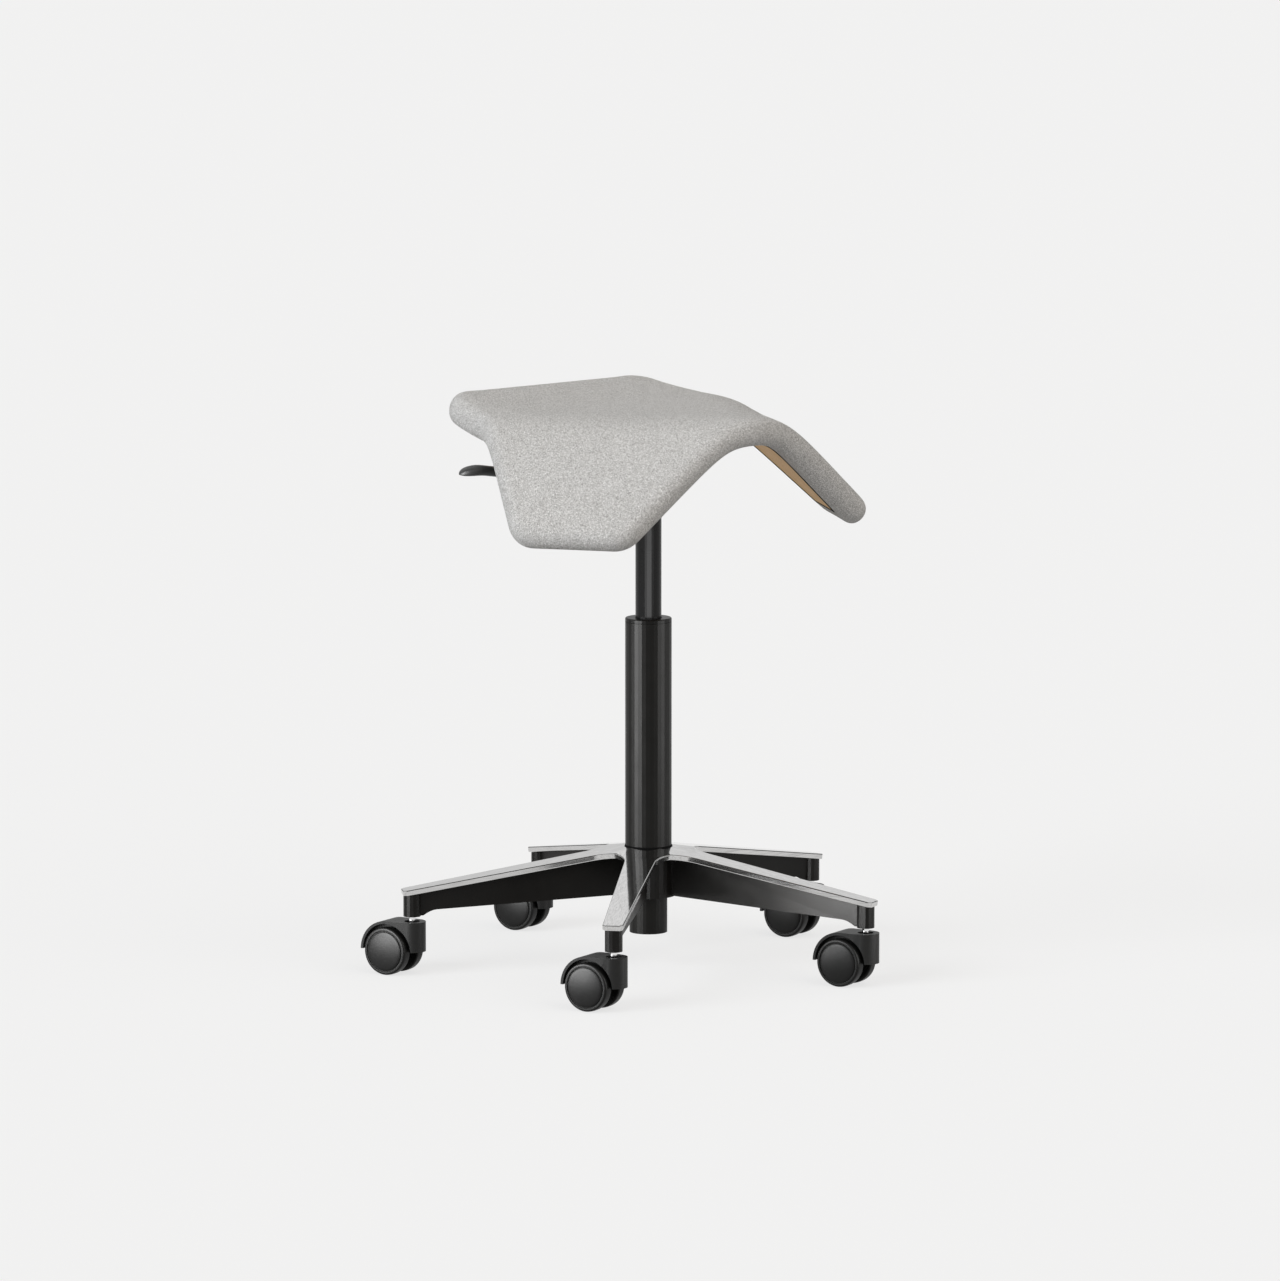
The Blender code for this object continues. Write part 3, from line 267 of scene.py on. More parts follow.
def grey(value, warm=0.0):
    return (value * (1.0 + warm), value, value * (1.0 - warm), 1.0)


# Materials
WEAVE_PITCH = 0.00106
YARN_DARK = (0.235, 0.224, 0.212, 1.0)
YARN_PALE = (0.940, 0.930, 0.915, 1.0)
YARN_STEP = 3.7
YARN_CHANGE = 2.1
FLECK_SHARE = 0.28
VENEER_WARM = (0.82, 0.495, 0.190, 1.0)
VENEER_PALE = (0.94, 0.615, 0.280, 1.0)
VENEER_GRAIN = (0.55, 0.300, 0.100, 1.0)
VENEER_PORE = (0.36, 0.19, 0.08, 1.0)
POLISH_WARMTH = 0.006
SPECKLE = 0.15


def fabric_material():
    """Marled wool: a plain weave whose yarns change from pale to dark grey along their length, with
    painted shade between the yarns and painted light on their crowns.
    """
    g = Graph("grey_marl_fabric")
    laid = g.add("ShaderNodeAttribute", attribute_name="weave")
    split = g.add("ShaderNodeSeparateXYZ")
    g.plug(split.inputs[0], laid.outputs["Vector"])
    wander = g.noise(laid.outputs["Vector"], 260.0, 1.0)
    sway = g.math("MULTIPLY", g.math("SUBTRACT", wander, 0.5), 0.7)
    across = g.math("ADD", g.math("DIVIDE", split.outputs[0], WEAVE_PITCH), sway)
    along = g.math("ADD", g.math("DIVIDE", split.outputs[1], WEAVE_PITCH), sway)
    warp_wave = g.math("SINE", g.math("MULTIPLY", across, math.pi))
    weft_wave = g.math("SINE", g.math("MULTIPLY", along, math.pi))
    over = g.math("MULTIPLY", warp_wave, weft_wave)
    on_top = g.span(over, -0.12, 0.12)
    warp = g.math("MULTIPLY", g.math("FLOOR", across), YARN_STEP)
    warp_tone = g.noise(g.joined(warp, g.math("MULTIPLY", along, YARN_CHANGE)), 1.0, 1.0, 0.6)
    weft = g.math("MULTIPLY", g.math("FLOOR", along), YARN_STEP)
    weft_tone = g.noise(g.joined(g.math("MULTIPLY", across, YARN_CHANGE), weft, 9.0), 1.0, 1.0, 0.6)
    weft_part = g.math("MULTIPLY", weft_tone, g.math("SUBTRACT", 1.0, on_top))
    tone = g.math("ADD", g.math("MULTIPLY", warp_tone, on_top), weft_part)
    flecks = g.noise(laid.outputs["Vector"], 1600.0, 1.0, 0.6)
    tone = g.math("MULTIPLY", tone, 1.0 - FLECK_SHARE)
    tone = g.math("ADD", tone, g.math("MULTIPLY", flecks, FLECK_SHARE))
    marl = g.span(tone, 0.40, 0.59)
    yarn = g.mix(marl, YARN_DARK, YARN_PALE)
    cloud = g.span(g.noise(laid.outputs["Vector"], 38.0, 3.0), 0.3, 0.7, 0.985, 1.015)
    # Painted shade and light: the colour is darker in the gaps between yarns and lighter on their crowns,
    # and cloud varies the tone at random
    depth = g.math("POWER", g.math("ABSOLUTE", over), 0.5)
    cloud_and_painted_shade = g.math("MULTIPLY", cloud, g.span(depth, 0.0, 0.8, 0.60, 1.09))
    colour = g.mix(1.0, yarn, g.joined(cloud_and_painted_shade, cloud_and_painted_shade, cloud_and_painted_shade), "MULTIPLY")
    fuzz = g.noise(laid.outputs["Vector"], 2600.0, 2.0)
    height = g.math("ADD", depth, g.math("MULTIPLY", fuzz, 0.55))
    g.set(Base_Color=colour, Roughness=0.93, Normal=g.bump(height, 0.6, 0.00035))
    return g.set(Sheen_Weight=0.12, Sheen_Roughness=0.55, Specular_IOR_Level=0.2)


def plywood_material():
    """Birch veneer with fine vessels and a broad figure along X, under a thin clear lacquer."""
    g = Graph("birch_veneer")
    broad = g.noise(g.place((3.0, 26.0, 26.0), 0.05), 1.0, 4.0, 0.55)
    fine = g.noise(g.place((26.0, 900.0, 900.0), 0.05), 1.0, 3.0, 0.6)
    pores = g.span(g.noise(g.place((90.0, 2600.0, 2600.0), 0.05), 1.0, 1.0), 0.60, 0.72)
    base = g.mix(g.span(broad, 0.3, 0.7), VENEER_WARM, VENEER_PALE)
    grain = g.mix(g.span(fine, 0.35, 0.75, 0.0, 0.50), base, VENEER_GRAIN)
    colour = g.mix(g.math("MULTIPLY", pores, 0.5), grain, VENEER_PORE)
    g.set(Base_Color=colour, Roughness=g.span(fine, 0.2, 0.8, 0.45, 0.60), Specular_IOR_Level=0.08)
    return g.set(Normal=g.bump(fine, 0.25, 0.00015))


def polished_material():
    """Polished aluminium with polishing lines along each arm and a painted dark reflection on its eased
    upper edge.
    """
    g = Graph("polished_aluminium")
    lay = g.add("ShaderNodeAttribute", attribute_name="arm_lay").outputs["Vector"]
    drawn = g.add("ShaderNodeMapping")
    drawn.inputs["Scale"].default_value = (16.0, 620.0, 620.0)
    g.plug(drawn.inputs["Vector"], lay)
    lines = g.noise(drawn.outputs["Vector"], 1.0, 3.0, 0.65)
    smears = g.noise(g.place(), 24.0, 4.0, 0.6)
    rim = g.add("ShaderNodeAttribute", attribute_name="painted_edge_reflection").outputs["Fac"]
    side = g.add("ShaderNodeAttribute", attribute_name="arm_side").outputs["Fac"]
    top = g.mix(g.span(smears, 0.3, 0.7), grey(0.530, POLISH_WARMTH), grey(0.580, POLISH_WARMTH))
    lined = g.mix(g.span(lines, 0.40, 0.66, 0.0, 0.75), top, grey(0.690, POLISH_WARMTH))
    streaked = g.mix(g.span(lines, 0.34, 0.48, 0.5, 0.0), lined, grey(0.400, POLISH_WARMTH))
    # Painted reflection: the eased upper edge is coloured nearly black, standing in for the dark
    # surroundings it would mirror
    g.set(Base_Color=g.mix(rim, streaked, grey(0.080, 0.01)), Metallic=1.0)
    polish = g.math("ADD", g.span(smears, 0.3, 0.75, 0.03, 0.07), g.span(lines, 0.4, 0.8, 0.0, 0.04))
    g.set(Roughness=g.math("ADD", polish, g.math("MULTIPLY", side, 0.12)))
    return g.set(Normal=g.bump(lines, 0.04, 0.0001))


def coated_material(name, colour, roughness, grain, strength, gloss=0.5):
    """Dark coated or moulded surface: fine grain in the bump, soft patches in gloss, dust-like specks."""
    g = Graph(name)
    g.set(Specular_IOR_Level=gloss)
    where = g.place()
    patches = g.noise(where, 34.0, 4.0, 0.6)
    skin = g.noise(where, grain, 2.0, 0.55)
    specks = g.span(g.noise(where, grain * 0.45, 1.0), 0.64, 0.80, 0.0, SPECKLE)
    pale = tuple(min(1.0, channel * 1.7 + 0.01) for channel in colour)
    deep = g.mix(g.span(patches, 0.3, 0.7), (*colour, 1.0), (*(c * 1.22 for c in colour), 1.0))
    g.set(Base_Color=g.mix(specks, deep, (*pale, 1.0)))
    g.set(Roughness=g.span(patches, 0.25, 0.75, roughness - 0.05, roughness + 0.05))
    return g.set(Normal=g.bump(skin, strength, 0.0002))


def metal_material(name, colour, roughness, stretch):
    """Bright plated or drawn metal with fine lines along its length."""
    g = Graph(name)
    lines = g.noise(g.place(stretch), 1.0, 3.0, 0.6)
    spots = g.noise(g.place(), 160.0, 3.0)
    g.set(Base_Color=g.mix(g.span(spots, 0.3, 0.7), grey(colour * 0.94), grey(colour)), Metallic=1.0)
    g.set(Roughness=g.span(lines, 0.3, 0.7, roughness, roughness + 0.10))
    return g.set(Normal=g.bump(lines, 0.05, 0.0001))


FABRIC = fabric_material()
PLYWOOD = plywood_material()
POLISHED = polished_material()
COLUMN_BLACK = coated_material("column_black", (0.0052, 0.0049, 0.0042), 0.36, 1500.0, 0.04, 0.12)
CAP_BLACK = coated_material("cap_black", (0.0042, 0.0040, 0.0036), 0.34, 1700.0, 0.06, 0.11)
ROD_BLACK = coated_material("rod_black", (0.0070, 0.0070, 0.0072), 0.26, 1500.0, 0.03, 0.20)
CAST_BLACK = coated_material("cast_black", (0.0062, 0.0057, 0.0050), 0.34, 1100.0, 0.10, 0.11)
PADDLE_BLACK = coated_material("paddle_black", (0.0150, 0.0150, 0.0146), 0.44, 1700.0, 0.14, 0.34)
MOULDED_BLACK = coated_material("moulded_black", (0.0110, 0.0110, 0.0106), 0.42, 1700.0, 0.14, 0.18)
WHEEL_BLACK = coated_material("wheel_black", (0.0055, 0.0055, 0.0052), 0.40, 1900.0, 0.08, 0.13)
# Near-black matte colour painted as shade, for the shadowed gaps at the column's foot and along the
# cloth's hem
GAP_SHADE_BLACK = coated_material("gap_shade_black", (0.0030, 0.0030, 0.0030), 0.65, 900.0, 0.10, 0.05)
RUBBER = coated_material("bumper_rubber", (0.022, 0.022, 0.022), 0.75, 900.0, 0.25, 0.30)
NYLON = coated_material("natural_nylon", (0.70, 0.69, 0.64), 0.45, 900.0, 0.08)
CHROME = metal_material("bright_chrome", 0.82, 0.05, (300.0, 300.0, 30.0))
STEEL = metal_material("plain_steel", 0.56, 0.25, (700.0, 700.0, 60.0))

CAD_MATERIALS = {
    "seat_shell": PLYWOOD,
    "base_plate": POLISHED,
    "base_spider": CAST_BLACK,
    "column_tube": COLUMN_BLACK,
    "pressure_tube": ROD_BLACK,
    "seat_bracket": CAST_BLACK,
    "lever_arm": CAST_BLACK,
    "column_cap": CAP_BLACK,
    "guide_sleeve": MOULDED_BLACK,
    "lever_handle": PADDLE_BLACK,
    "caster_hood": MOULDED_BLACK,
    "wheel_left": WHEEL_BLACK,
    "wheel_right": WHEEL_BLACK,
    "caster_stem": CHROME,
    "piston_rod": CHROME,
    "bumper": RUBBER,
    "bearing_cage": NYLON,
    "rod_gland": NYLON,
    "piston": NYLON,
    "seat_cushion": FABRIC,
}


def piece_kind(name):
    """A piece's name without its number."""
    return name.rstrip("0123456789").rstrip("_")


def dress_cad_nodes():
    for name, thing in nodes.items():
        thing.data.materials.clear()
        thing.data.materials.append(CAD_MATERIALS.get(piece_kind(name), STEEL))


# Mesh helpers
def linked(name, mesh, *materials):
    thing = bpy.data.objects.new(name, mesh)
    scene.collection.objects.link(thing)
    for given in materials:
        mesh.materials.append(given)
    return thing


def applied(thing):
    """Makes an object's modifiers real and removes its boolean operands."""
    bpy.context.view_layer.update()
    graph = bpy.context.evaluated_depsgraph_get()
    mesh = bpy.data.meshes.new_from_object(thing.evaluated_get(graph))
    operands = [m.object for m in thing.modifiers if m.type == "BOOLEAN"]
    thing.modifiers.clear()
    old = thing.data
    thing.data = mesh
    bpy.data.meshes.remove(old)
    for used in operands:
        bpy.data.objects.remove(used, do_unlink=True)


def softened(thing, width, segments, limit):
    """Rounds an object's hard edges and keeps its broad faces flat in the shading."""
    bevel = thing.modifiers.new("edge", "BEVEL")
    bevel.width = width
    bevel.segments = segments
    bevel.limit_method = "ANGLE"
    bevel.angle_limit = math.radians(limit)
    bevel.use_clamp_overlap = True
    weighted = thing.modifiers.new("normals", "WEIGHTED_NORMAL")
    weighted.keep_sharp = True


def smoothed(mesh, sharp):
    mesh.shade_smooth()
    mesh.set_sharp_from_angle(angle=math.radians(sharp))
    return mesh


def mesh_from(name, bm, sharp=40.0):
    bmesh.ops.recalc_face_normals(bm, faces=bm.faces)
    mesh = bpy.data.meshes.new(name)
    bm.to_mesh(mesh)
    bm.free()
    return smoothed(mesh, sharp)


def skin_mesh(name, points, faces, sharp, weld=0.0):
    """A mesh of given points and faces, with the points that coincide joined where asked."""
    plain = bpy.data.meshes.new(name)
    plain.from_pydata(points, [], faces)
    bm = bmesh.new()
    bm.from_mesh(plain)
    bpy.data.meshes.remove(plain)
    if weld:
        bmesh.ops.remove_doubles(bm, verts=bm.verts, dist=weld)
    return mesh_from(name, bm, sharp)


def carried(thing, body, slot, *replaced):
    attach(thing, body)
    if replaced:
        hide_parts(*replaced)


def cut(target, mesh, location=(0.0, 0.0, 0.0), rotation=(0.0, 0.0, 0.0), operation="DIFFERENCE"):
    other = linked("cutter", mesh)
    other.location = location
    other.rotation_euler = rotation
    other.hide_render = True
    step = target.modifiers.new("cut", "BOOLEAN")
    step.operation = operation
    step.object = other


def turned_mesh(name, profile, steps, sharp=40.0):
    """A solid turned about Z from (radius, height) points, closed at the axis or as a ring."""
    bm = bmesh.new()
    rings = []
    for radius, height in profile:
        if radius < 1e-7:
            rings.append([bm.verts.new((0.0, 0.0, height))])
            continue
        angles = [2 * math.pi * k / steps for k in range(steps)]
        rings.append([bm.verts.new((radius * math.cos(a), radius * math.sin(a), height)) for a in angles])
    pairs = list(zip(rings, rings[1:]))
    if len(rings[0]) > 1 and len(rings[-1]) > 1:
        pairs.append((rings[-1], rings[0]))
    for near, far in pairs:
        for i in range(steps):
            j = (i + 1) % steps
            corners = [near[i % len(near)], near[j % len(near)], far[j % len(far)], far[i % len(far)]]
            bm.faces.new(list(dict.fromkeys(corners)))
    return mesh_from(name, bm, sharp)


def rod(radius, bottom, top):
    return [(0.0, top), (radius, top), (radius, bottom), (0.0, bottom)]


def arc(centre, radius, start_deg, end_deg, steps):
    angles = np.radians(np.linspace(start_deg, end_deg, steps + 1))
    return [(centre[0] + radius * math.cos(a), centre[1] + radius * math.sin(a)) for a in angles]


def prism_mesh(name, outline, half_depth):
    """An outline in the XZ plane, thickened evenly along Y."""
    bm = bmesh.new()
    face = bm.faces.new([bm.verts.new((x, -half_depth, z)) for x, z in outline])
    grown = bmesh.ops.extrude_face_region(bm, geom=[face])
    moved = [v for v in grown["geom"] if isinstance(v, bmesh.types.BMVert)]
    bmesh.ops.translate(bm, vec=(0.0, 2 * half_depth, 0.0), verts=moved)
    return mesh_from(name, bm)


def lofted(loops, start_tip=None, end_tip=None):
    """Vertices and faces of a skin through equal loops, each end drawn to a tip or left open."""
    count = len(loops[0])
    points = [tuple(p) for loop in loops for p in loop]
    faces = []
    for row in range(len(loops) - 1):
        for i in range(count):
            j = (i + 1) % count
            near, far = row * count, (row + 1) * count
            faces.append((near + i, near + j, far + j, far + i))
    for tip, row in ((start_tip, 0), (end_tip, len(loops) - 1)):
        if tip is not None:
            points.append(tuple(tip))
            for i in range(count):
                faces.append((row * count + i, row * count + (i + 1) % count, len(points) - 1))
    return points, faces


# Seat sheet: the middle surface of the padded saddle
def sheet_height(side, forward, softness=CREASE_SOFTNESS):
    side = np.abs(np.asarray(side, float))
    forward = np.asarray(forward, float)
    back = np.clip(-forward - SEAT_FLAT_HALF, 0.0, None) / (SEAT_REAR - SEAT_FLAT_HALF)
    ahead = np.clip(forward - SEAT_FLAT_HALF, 0.0, None) / (SEAT_FRONT - SEAT_FLAT_HALF)
    deck = REAR_RISE * back**REAR_RISE_POWER + FRONT_RISE * ahead
    fall = math.tan(FLAP_FALL)
    near = fall * (FLAP_CREASE - side * math.cos(FLAP_TURN) - forward * math.sin(FLAP_TURN))
    far = fall * (FLAP_CREASE + side * math.cos(FLAP_TURN) - forward * math.sin(FLAP_TURN))
    layers = np.stack([deck, near, far]) / softness
    lowest = layers.min(axis=0)
    return SEAT_MID + softness * (lowest - np.log(np.exp(lowest - layers).sum(axis=0)))


def sheet_normal(side, forward, softness=CREASE_SOFTNESS, step=0.0005):
    right = sheet_height(side + step, forward, softness)
    left = sheet_height(side - step, forward, softness)
    ahead = sheet_height(side, forward + step, softness)
    behind = sheet_height(side, forward - step, softness)
    aside = (left - right) / (2 * step)
    along = (ahead - behind) / (2 * step)
    normal = np.stack([aside, along, np.ones_like(right)], axis=-1)
    return normal / np.linalg.norm(normal, axis=-1, keepdims=True)


def sheet_points(plan, offset, softness=CREASE_SOFTNESS):
    side, forward = plan[:, 0], plan[:, 1]
    points = np.stack([side, -forward, sheet_height(side, forward, softness)], axis=-1)
    return points + offset * sheet_normal(side, forward, softness)


FRONT_LIFT = 0.0020
LIFT_FROM = -0.05
LIFT_RUN = 0.15


def front_lift(plan):
    """How much thinner the seat is at a plan point: nothing behind the middle, most along the front."""
    return FRONT_LIFT * smooth_step((plan[:, 1:] - LIFT_FROM) / LIFT_RUN)


def under_points(plan, offset):
    """Points of the seat's underside, where the plywood bends tighter than the padding on it."""
    return sheet_points(plan, offset + front_lift(plan), UNDER_SOFTNESS)


def unrolled(plan):
    """Plan points laid out flat, as the cloth was before it bent over the creases."""
    side, forward = np.abs(plan[:, 0]), plan[:, 1]
    past = side * math.cos(FLAP_TURN) + forward * math.sin(FLAP_TURN) - FLAP_CREASE
    past = CREASE_SOFTNESS * np.logaddexp(0.0, past / CREASE_SOFTNESS)
    extra = (1.0 / math.cos(FLAP_FALL) - 1.0) * past
    across = np.sign(plan[:, 0]) * (side + extra * math.cos(FLAP_TURN))
    return np.stack([across, forward + extra * math.sin(FLAP_TURN)], axis=-1)


OUTLINE_CORNER_STEPS = 10
OUTLINE_SPACING = 0.006


def rounded_outline(corners, radii):
    corners = np.asarray(corners, float)
    spans = []
    for index, corner in enumerate(corners):
        towards = corners[index - 1] - corner
        onward = corners[(index + 1) % len(corners)] - corner
        towards /= np.linalg.norm(towards)
        onward /= np.linalg.norm(onward)
        if radii[index] == 0.0:
            spans.append([corner])
            continue
        half = math.acos(float(np.clip(towards @ onward, -1.0, 1.0))) / 2
        inward = (towards + onward) / np.linalg.norm(towards + onward)
        middle = corner + inward * radii[index] / math.sin(half)
        first = corner + towards * radii[index] / math.tan(half) - middle
        last = corner + onward * radii[index] / math.tan(half) - middle
        start = math.atan2(first[1], first[0])
        sweep = (math.atan2(last[1], last[0]) - start + math.pi) % (2 * math.pi) - math.pi
        angles = start + sweep * np.linspace(0.0, 1.0, OUTLINE_CORNER_STEPS + 1)
        spans.append([middle + radii[index] * np.array([math.cos(a), math.sin(a)]) for a in angles])
    outline = []
    for index, span in enumerate(spans):
        after = spans[(index + 1) % len(spans)][0]
        pieces = max(1, math.ceil(float(np.linalg.norm(after - span[-1])) / OUTLINE_SPACING))
        outline += span + [span[-1] + (after - span[-1]) * k / pieces for k in range(1, pieces)]
    return np.array(outline)


def seat_outline():
    half = [(WING_HALF, -SEAT_REAR), NOTCH, FLAP_BACK, FLAP_FRONT]
    radii = [WING_CORNER_R, NOTCH_R, FLAP_CORNER_R, FLAP_CORNER_R]
    corners = half + [(0.0, SEAT_FRONT)] + [(-side, forward) for side, forward in reversed(half)]
    return rounded_outline(corners, radii + [0.0] + radii[::-1])


def edge_outward(outline):
    rim = sheet_points(outline, 0.0)
    along = np.roll(rim, -1, axis=0) - np.roll(rim, 1, axis=0)
    outward = np.cross(sheet_normal(outline[:, 0], outline[:, 1]), along)
    outward /= np.linalg.norm(outward, axis=1, keepdims=True)
    radial = np.einsum("ij,ij->i", outward[:, :2], rim[:, :2])
    return outward * np.sign(radial.sum())


def inset_outline(outline, inset):
    outward = edge_outward(outline)
    return outline - inset * np.stack([outward[:, 0], -outward[:, 1]], axis=-1)


DECK_SHARES = np.linspace(0.04, 0.96, 24)


def deck_plans(outline):
    return [outline * share for share in (1.0, *reversed(DECK_SHARES))]


def deck_loops(outline, offset, softness=CREASE_SOFTNESS):
    """Loops from the sheet's edge inwards, their plans, and the tip in the middle."""
    plans = deck_plans(outline)
    loops = [sheet_points(plan, offset, softness) for plan in plans]
    return loops, plans, sheet_points(np.zeros((1, 2)), offset, softness)[0]


EDGE_STEPS = 20
EDGE_UPPER = 2.2
EDGE_LOWER = 2.4
EDGE_TUCK = 0.0012
HEM_LIP = 0.0016
HEM_ROWS = ((0.5, 0.0), (0.92, 0.0), (1.0, 0.3 * HEM_LIP), (1.0, HEM_LIP))


def cushion_form(shrink):
    """The padded form's loops and the cloth's flat coordinates at each vertex."""
    outline = seat_outline()
    half = SEAT_THICK / 2
    outward = edge_outward(outline)
    flat_out = np.stack([outward[:, 0], -outward[:, 1]], axis=-1)
    flat_out /= np.linalg.norm(flat_out, axis=1, keepdims=True)
    upward = sheet_normal(outline[:, 0], outline[:, 1])
    rim = sheet_points(outline, 0.0)
    under_rim = sheet_points(outline, 0.0, UNDER_SOFTNESS)
    lift = front_lift(outline)
    under_up = sheet_normal(outline[:, 0], outline[:, 1], UNDER_SOFTNESS)
    top, top_plans, top_tip = deck_loops(outline, half - shrink)
    loops = list(reversed(top))
    cloth = [unrolled(plan) for plan in reversed(top_plans)]
    edge_cloth = unrolled(outline)
    wrap = np.zeros((len(outline), 1))
    for angle in np.linspace(math.pi / 2, -math.pi / 2, EDGE_STEPS + 1)[1:]:
        power = 2.0 / (EDGE_UPPER if angle > 0.0 else EDGE_LOWER)
        aside = max(0.0, math.cos(angle)) ** power
        rise = math.copysign(abs(math.sin(angle)) ** power, angle)
        below = max(0.0, -rise)
        turn = smooth_step(below)
        middle = rim + (under_rim - rim) * turn
        above = upward + (under_up - upward) * turn
        ease = shrink * min(1.0, math.sin(angle) + 1.0)
        wide = half - ease - EDGE_TUCK * below
        deep = half - ease - (lift if angle <= 0.0 else 0.0)
        loops.append(middle + aside * wide * outward + rise * deep * above)
        wrap = wrap + np.linalg.norm(loops[-1] - loops[-2], axis=1, keepdims=True)
        cloth.append(edge_cloth + flat_out * wrap)
    pocket = inset_outline(outline, SHELL_INSET - CLEARANCE)
    for share, inside in HEM_ROWS:
        plan = outline + (pocket - outline) * share
        loops.append(under_points(plan, inside - half))
        cloth.append(edge_cloth + flat_out * (wrap + share * SHELL_INSET))
    ceiling, _, ceiling_tip = deck_loops(pocket, SHELL_THICK + CLEARANCE - half, UNDER_SOFTNESS)
    loops += ceiling
    cloth += [edge_cloth + flat_out * (wrap + 2 * SHELL_INSET)] * len(ceiling)
    flat = np.concatenate([*cloth, np.zeros((2, 2))])
    points, faces = lofted(loops, top_tip, ceiling_tip)
    return np.array(points), faces, flat, len(top) + EDGE_STEPS


SWELL_START = 0.0014
SWELL_FULL = 0.0004
SWELL_SHARE = 0.35
SWELL_CAP = 0.0060
SWELL_VOXEL = 0.005
SWELL_FRAMES = 20
SWELL_PRESSURE = 4.0
SWELL_STIFFNESS = 25.0
SWELL_BENDING = 2.0
SWELL_HELD = -0.3 * SEAT_THICK
SWELL_NEIGHBOURS = 8
SWELL_REACH = 0.002


def positions(mesh):
    spots = np.empty(len(mesh.vertices) * 3)
    mesh.vertices.foreach_get("co", spots)
    return spots.reshape(-1, 3)


def swollen(points, faces):
    """How far each point moves when the cover is blown up a little by its filling, by cloth simulation."""
    mesh = bpy.data.meshes.new("swell")
    mesh.from_pydata([tuple(p) for p in points], [], faces)
    thing = linked("swell", mesh)
    remesh = thing.modifiers.new("remesh", "REMESH")
    remesh.mode = "VOXEL"
    remesh.voxel_size = SWELL_VOXEL
    applied(thing)
    start = positions(thing.data)
    side, forward = start[:, 0], -start[:, 1]
    above = start[:, 2] - sheet_height(side, forward)
    pinned = thing.vertex_groups.new(name="held")
    pinned.add([int(i) for i in np.nonzero(above < SWELL_HELD)[0]], 1.0, "REPLACE")
    cloth = thing.modifiers.new("cloth", "CLOTH")
    cloth.settings.use_pressure = True
    cloth.settings.uniform_pressure_force = SWELL_PRESSURE
    cloth.settings.vertex_group_mass = "held"
    cloth.settings.effector_weights.gravity = 0.0
    cloth.settings.tension_stiffness = SWELL_STIFFNESS
    cloth.settings.compression_stiffness = SWELL_STIFFNESS
    cloth.settings.bending_stiffness = SWELL_BENDING
    cloth.point_cache.frame_start = 1
    cloth.point_cache.frame_end = SWELL_FRAMES
    for number in range(1, SWELL_FRAMES + 1):
        scene.frame_set(number)
    graph = bpy.context.evaluated_depsgraph_get()
    moved = positions(thing.evaluated_get(graph).data) - start
    length = np.linalg.norm(moved, axis=1, keepdims=True)
    moved *= np.minimum(1.0, SWELL_CAP / np.maximum(length, 1e-9))
    bpy.data.objects.remove(thing, do_unlink=True)
    scene.frame_set(1)
    tree = KDTree(len(start))
    for index, point in enumerate(start):
        tree.insert(point, index)
    tree.balance()
    result = np.zeros_like(points)
    for index, point in enumerate(points):
        found = tree.find_n(point, SWELL_NEIGHBOURS)
        weights = np.array([1.0 / (distance + SWELL_REACH) ** 2 for _, _, distance in found])
        near = moved[[i for _, i, _ in found]]
        result[index] = (near * weights[:, None]).sum(axis=0) / weights.sum()
    return result


def build_cushion():
    """The padded seat: its modelled form, with a share of the simulated swelling blended in."""
    points, faces, flat, soft_rows = cushion_form(-SWELL_FULL)
    count = len(seat_outline())
    soft = np.zeros(len(points))
    soft[: soft_rows * count] = 1.0
    soft[-2] = 1.0
    slack = cushion_form(SWELL_START)[0]
    moved = swollen(slack, faces)
    mean_move = np.linalg.norm(moved[soft > 0.0], axis=1).mean()
    blown = slack + moved * (SWELL_START / max(mean_move, 1e-6))
    points = points + (blown - points) * soft[:, None] * SWELL_SHARE
    mesh = skin_mesh("cushion", [tuple(p) for p in points], faces, 60.0)
    laid = np.column_stack([flat, np.zeros(len(flat))]).astype(np.float32)
    mesh.attributes.new("weave", "FLOAT_VECTOR", "POINT").data.foreach_set("vector", laid.ravel())
    cushion = linked("cushion", mesh, FABRIC)
    fine = cushion.modifiers.new("fine", "SUBSURF")
    fine.levels = 1
    fine.render_levels = 1
    carried(cushion, "seat", "upholstery", "seat_cushion")


SHELL_EASE = 0.0008


def build_shell():
    """Pressed plywood panel under the padding, its edges eased."""
    panel = inset_outline(seat_outline(), SHELL_INSET)
    half = SEAT_THICK / 2
    eased = inset_outline(seat_outline(), SHELL_INSET + SHELL_EASE)
    under = [under_points(plan, -half) for plan in deck_plans(eased)]
    under_tip = under_points(np.zeros((1, 2)), -half)[0]
    over, _, over_tip = deck_loops(eased, SHELL_THICK - half, UNDER_SOFTNESS)
    edge = [under_points(panel, rise - half) for rise in (SHELL_EASE, SHELL_THICK - SHELL_EASE)]
    points, faces = lofted([*reversed(under), *edge, *over], under_tip, over_tip)
    shell = linked("plywood_shell", skin_mesh("shell", points, faces, 30.0), PLYWOOD)
    carried(shell, "seat", "plywood", "seat_shell")


CORD_R = 0.0009
CORD_STEPS = 8
CORD_SINK = 0.1


def build_hem_cord():
    """Cord that closes the joint between the turned-under cloth and the plywood, coloured near-black as
    painted shade for the shadowed gap there.
    """
    half = SEAT_THICK / 2
    loops = []
    for angle in np.linspace(0.0, 2 * math.pi, CORD_STEPS, endpoint=False):
        plan = inset_outline(seat_outline(), SHELL_INSET + CORD_R * (1.0 + math.cos(angle)))
        loops.append(under_points(plan, -half - CORD_R * (math.sin(angle) - CORD_SINK)))
    points, faces = lofted([*loops, loops[0]])
    cord = skin_mesh("hem_cord", points, faces, 60.0, weld=1e-7)
    carried(linked("hem_cord", cord, GAP_SHADE_BLACK), "seat", "black_rubber")


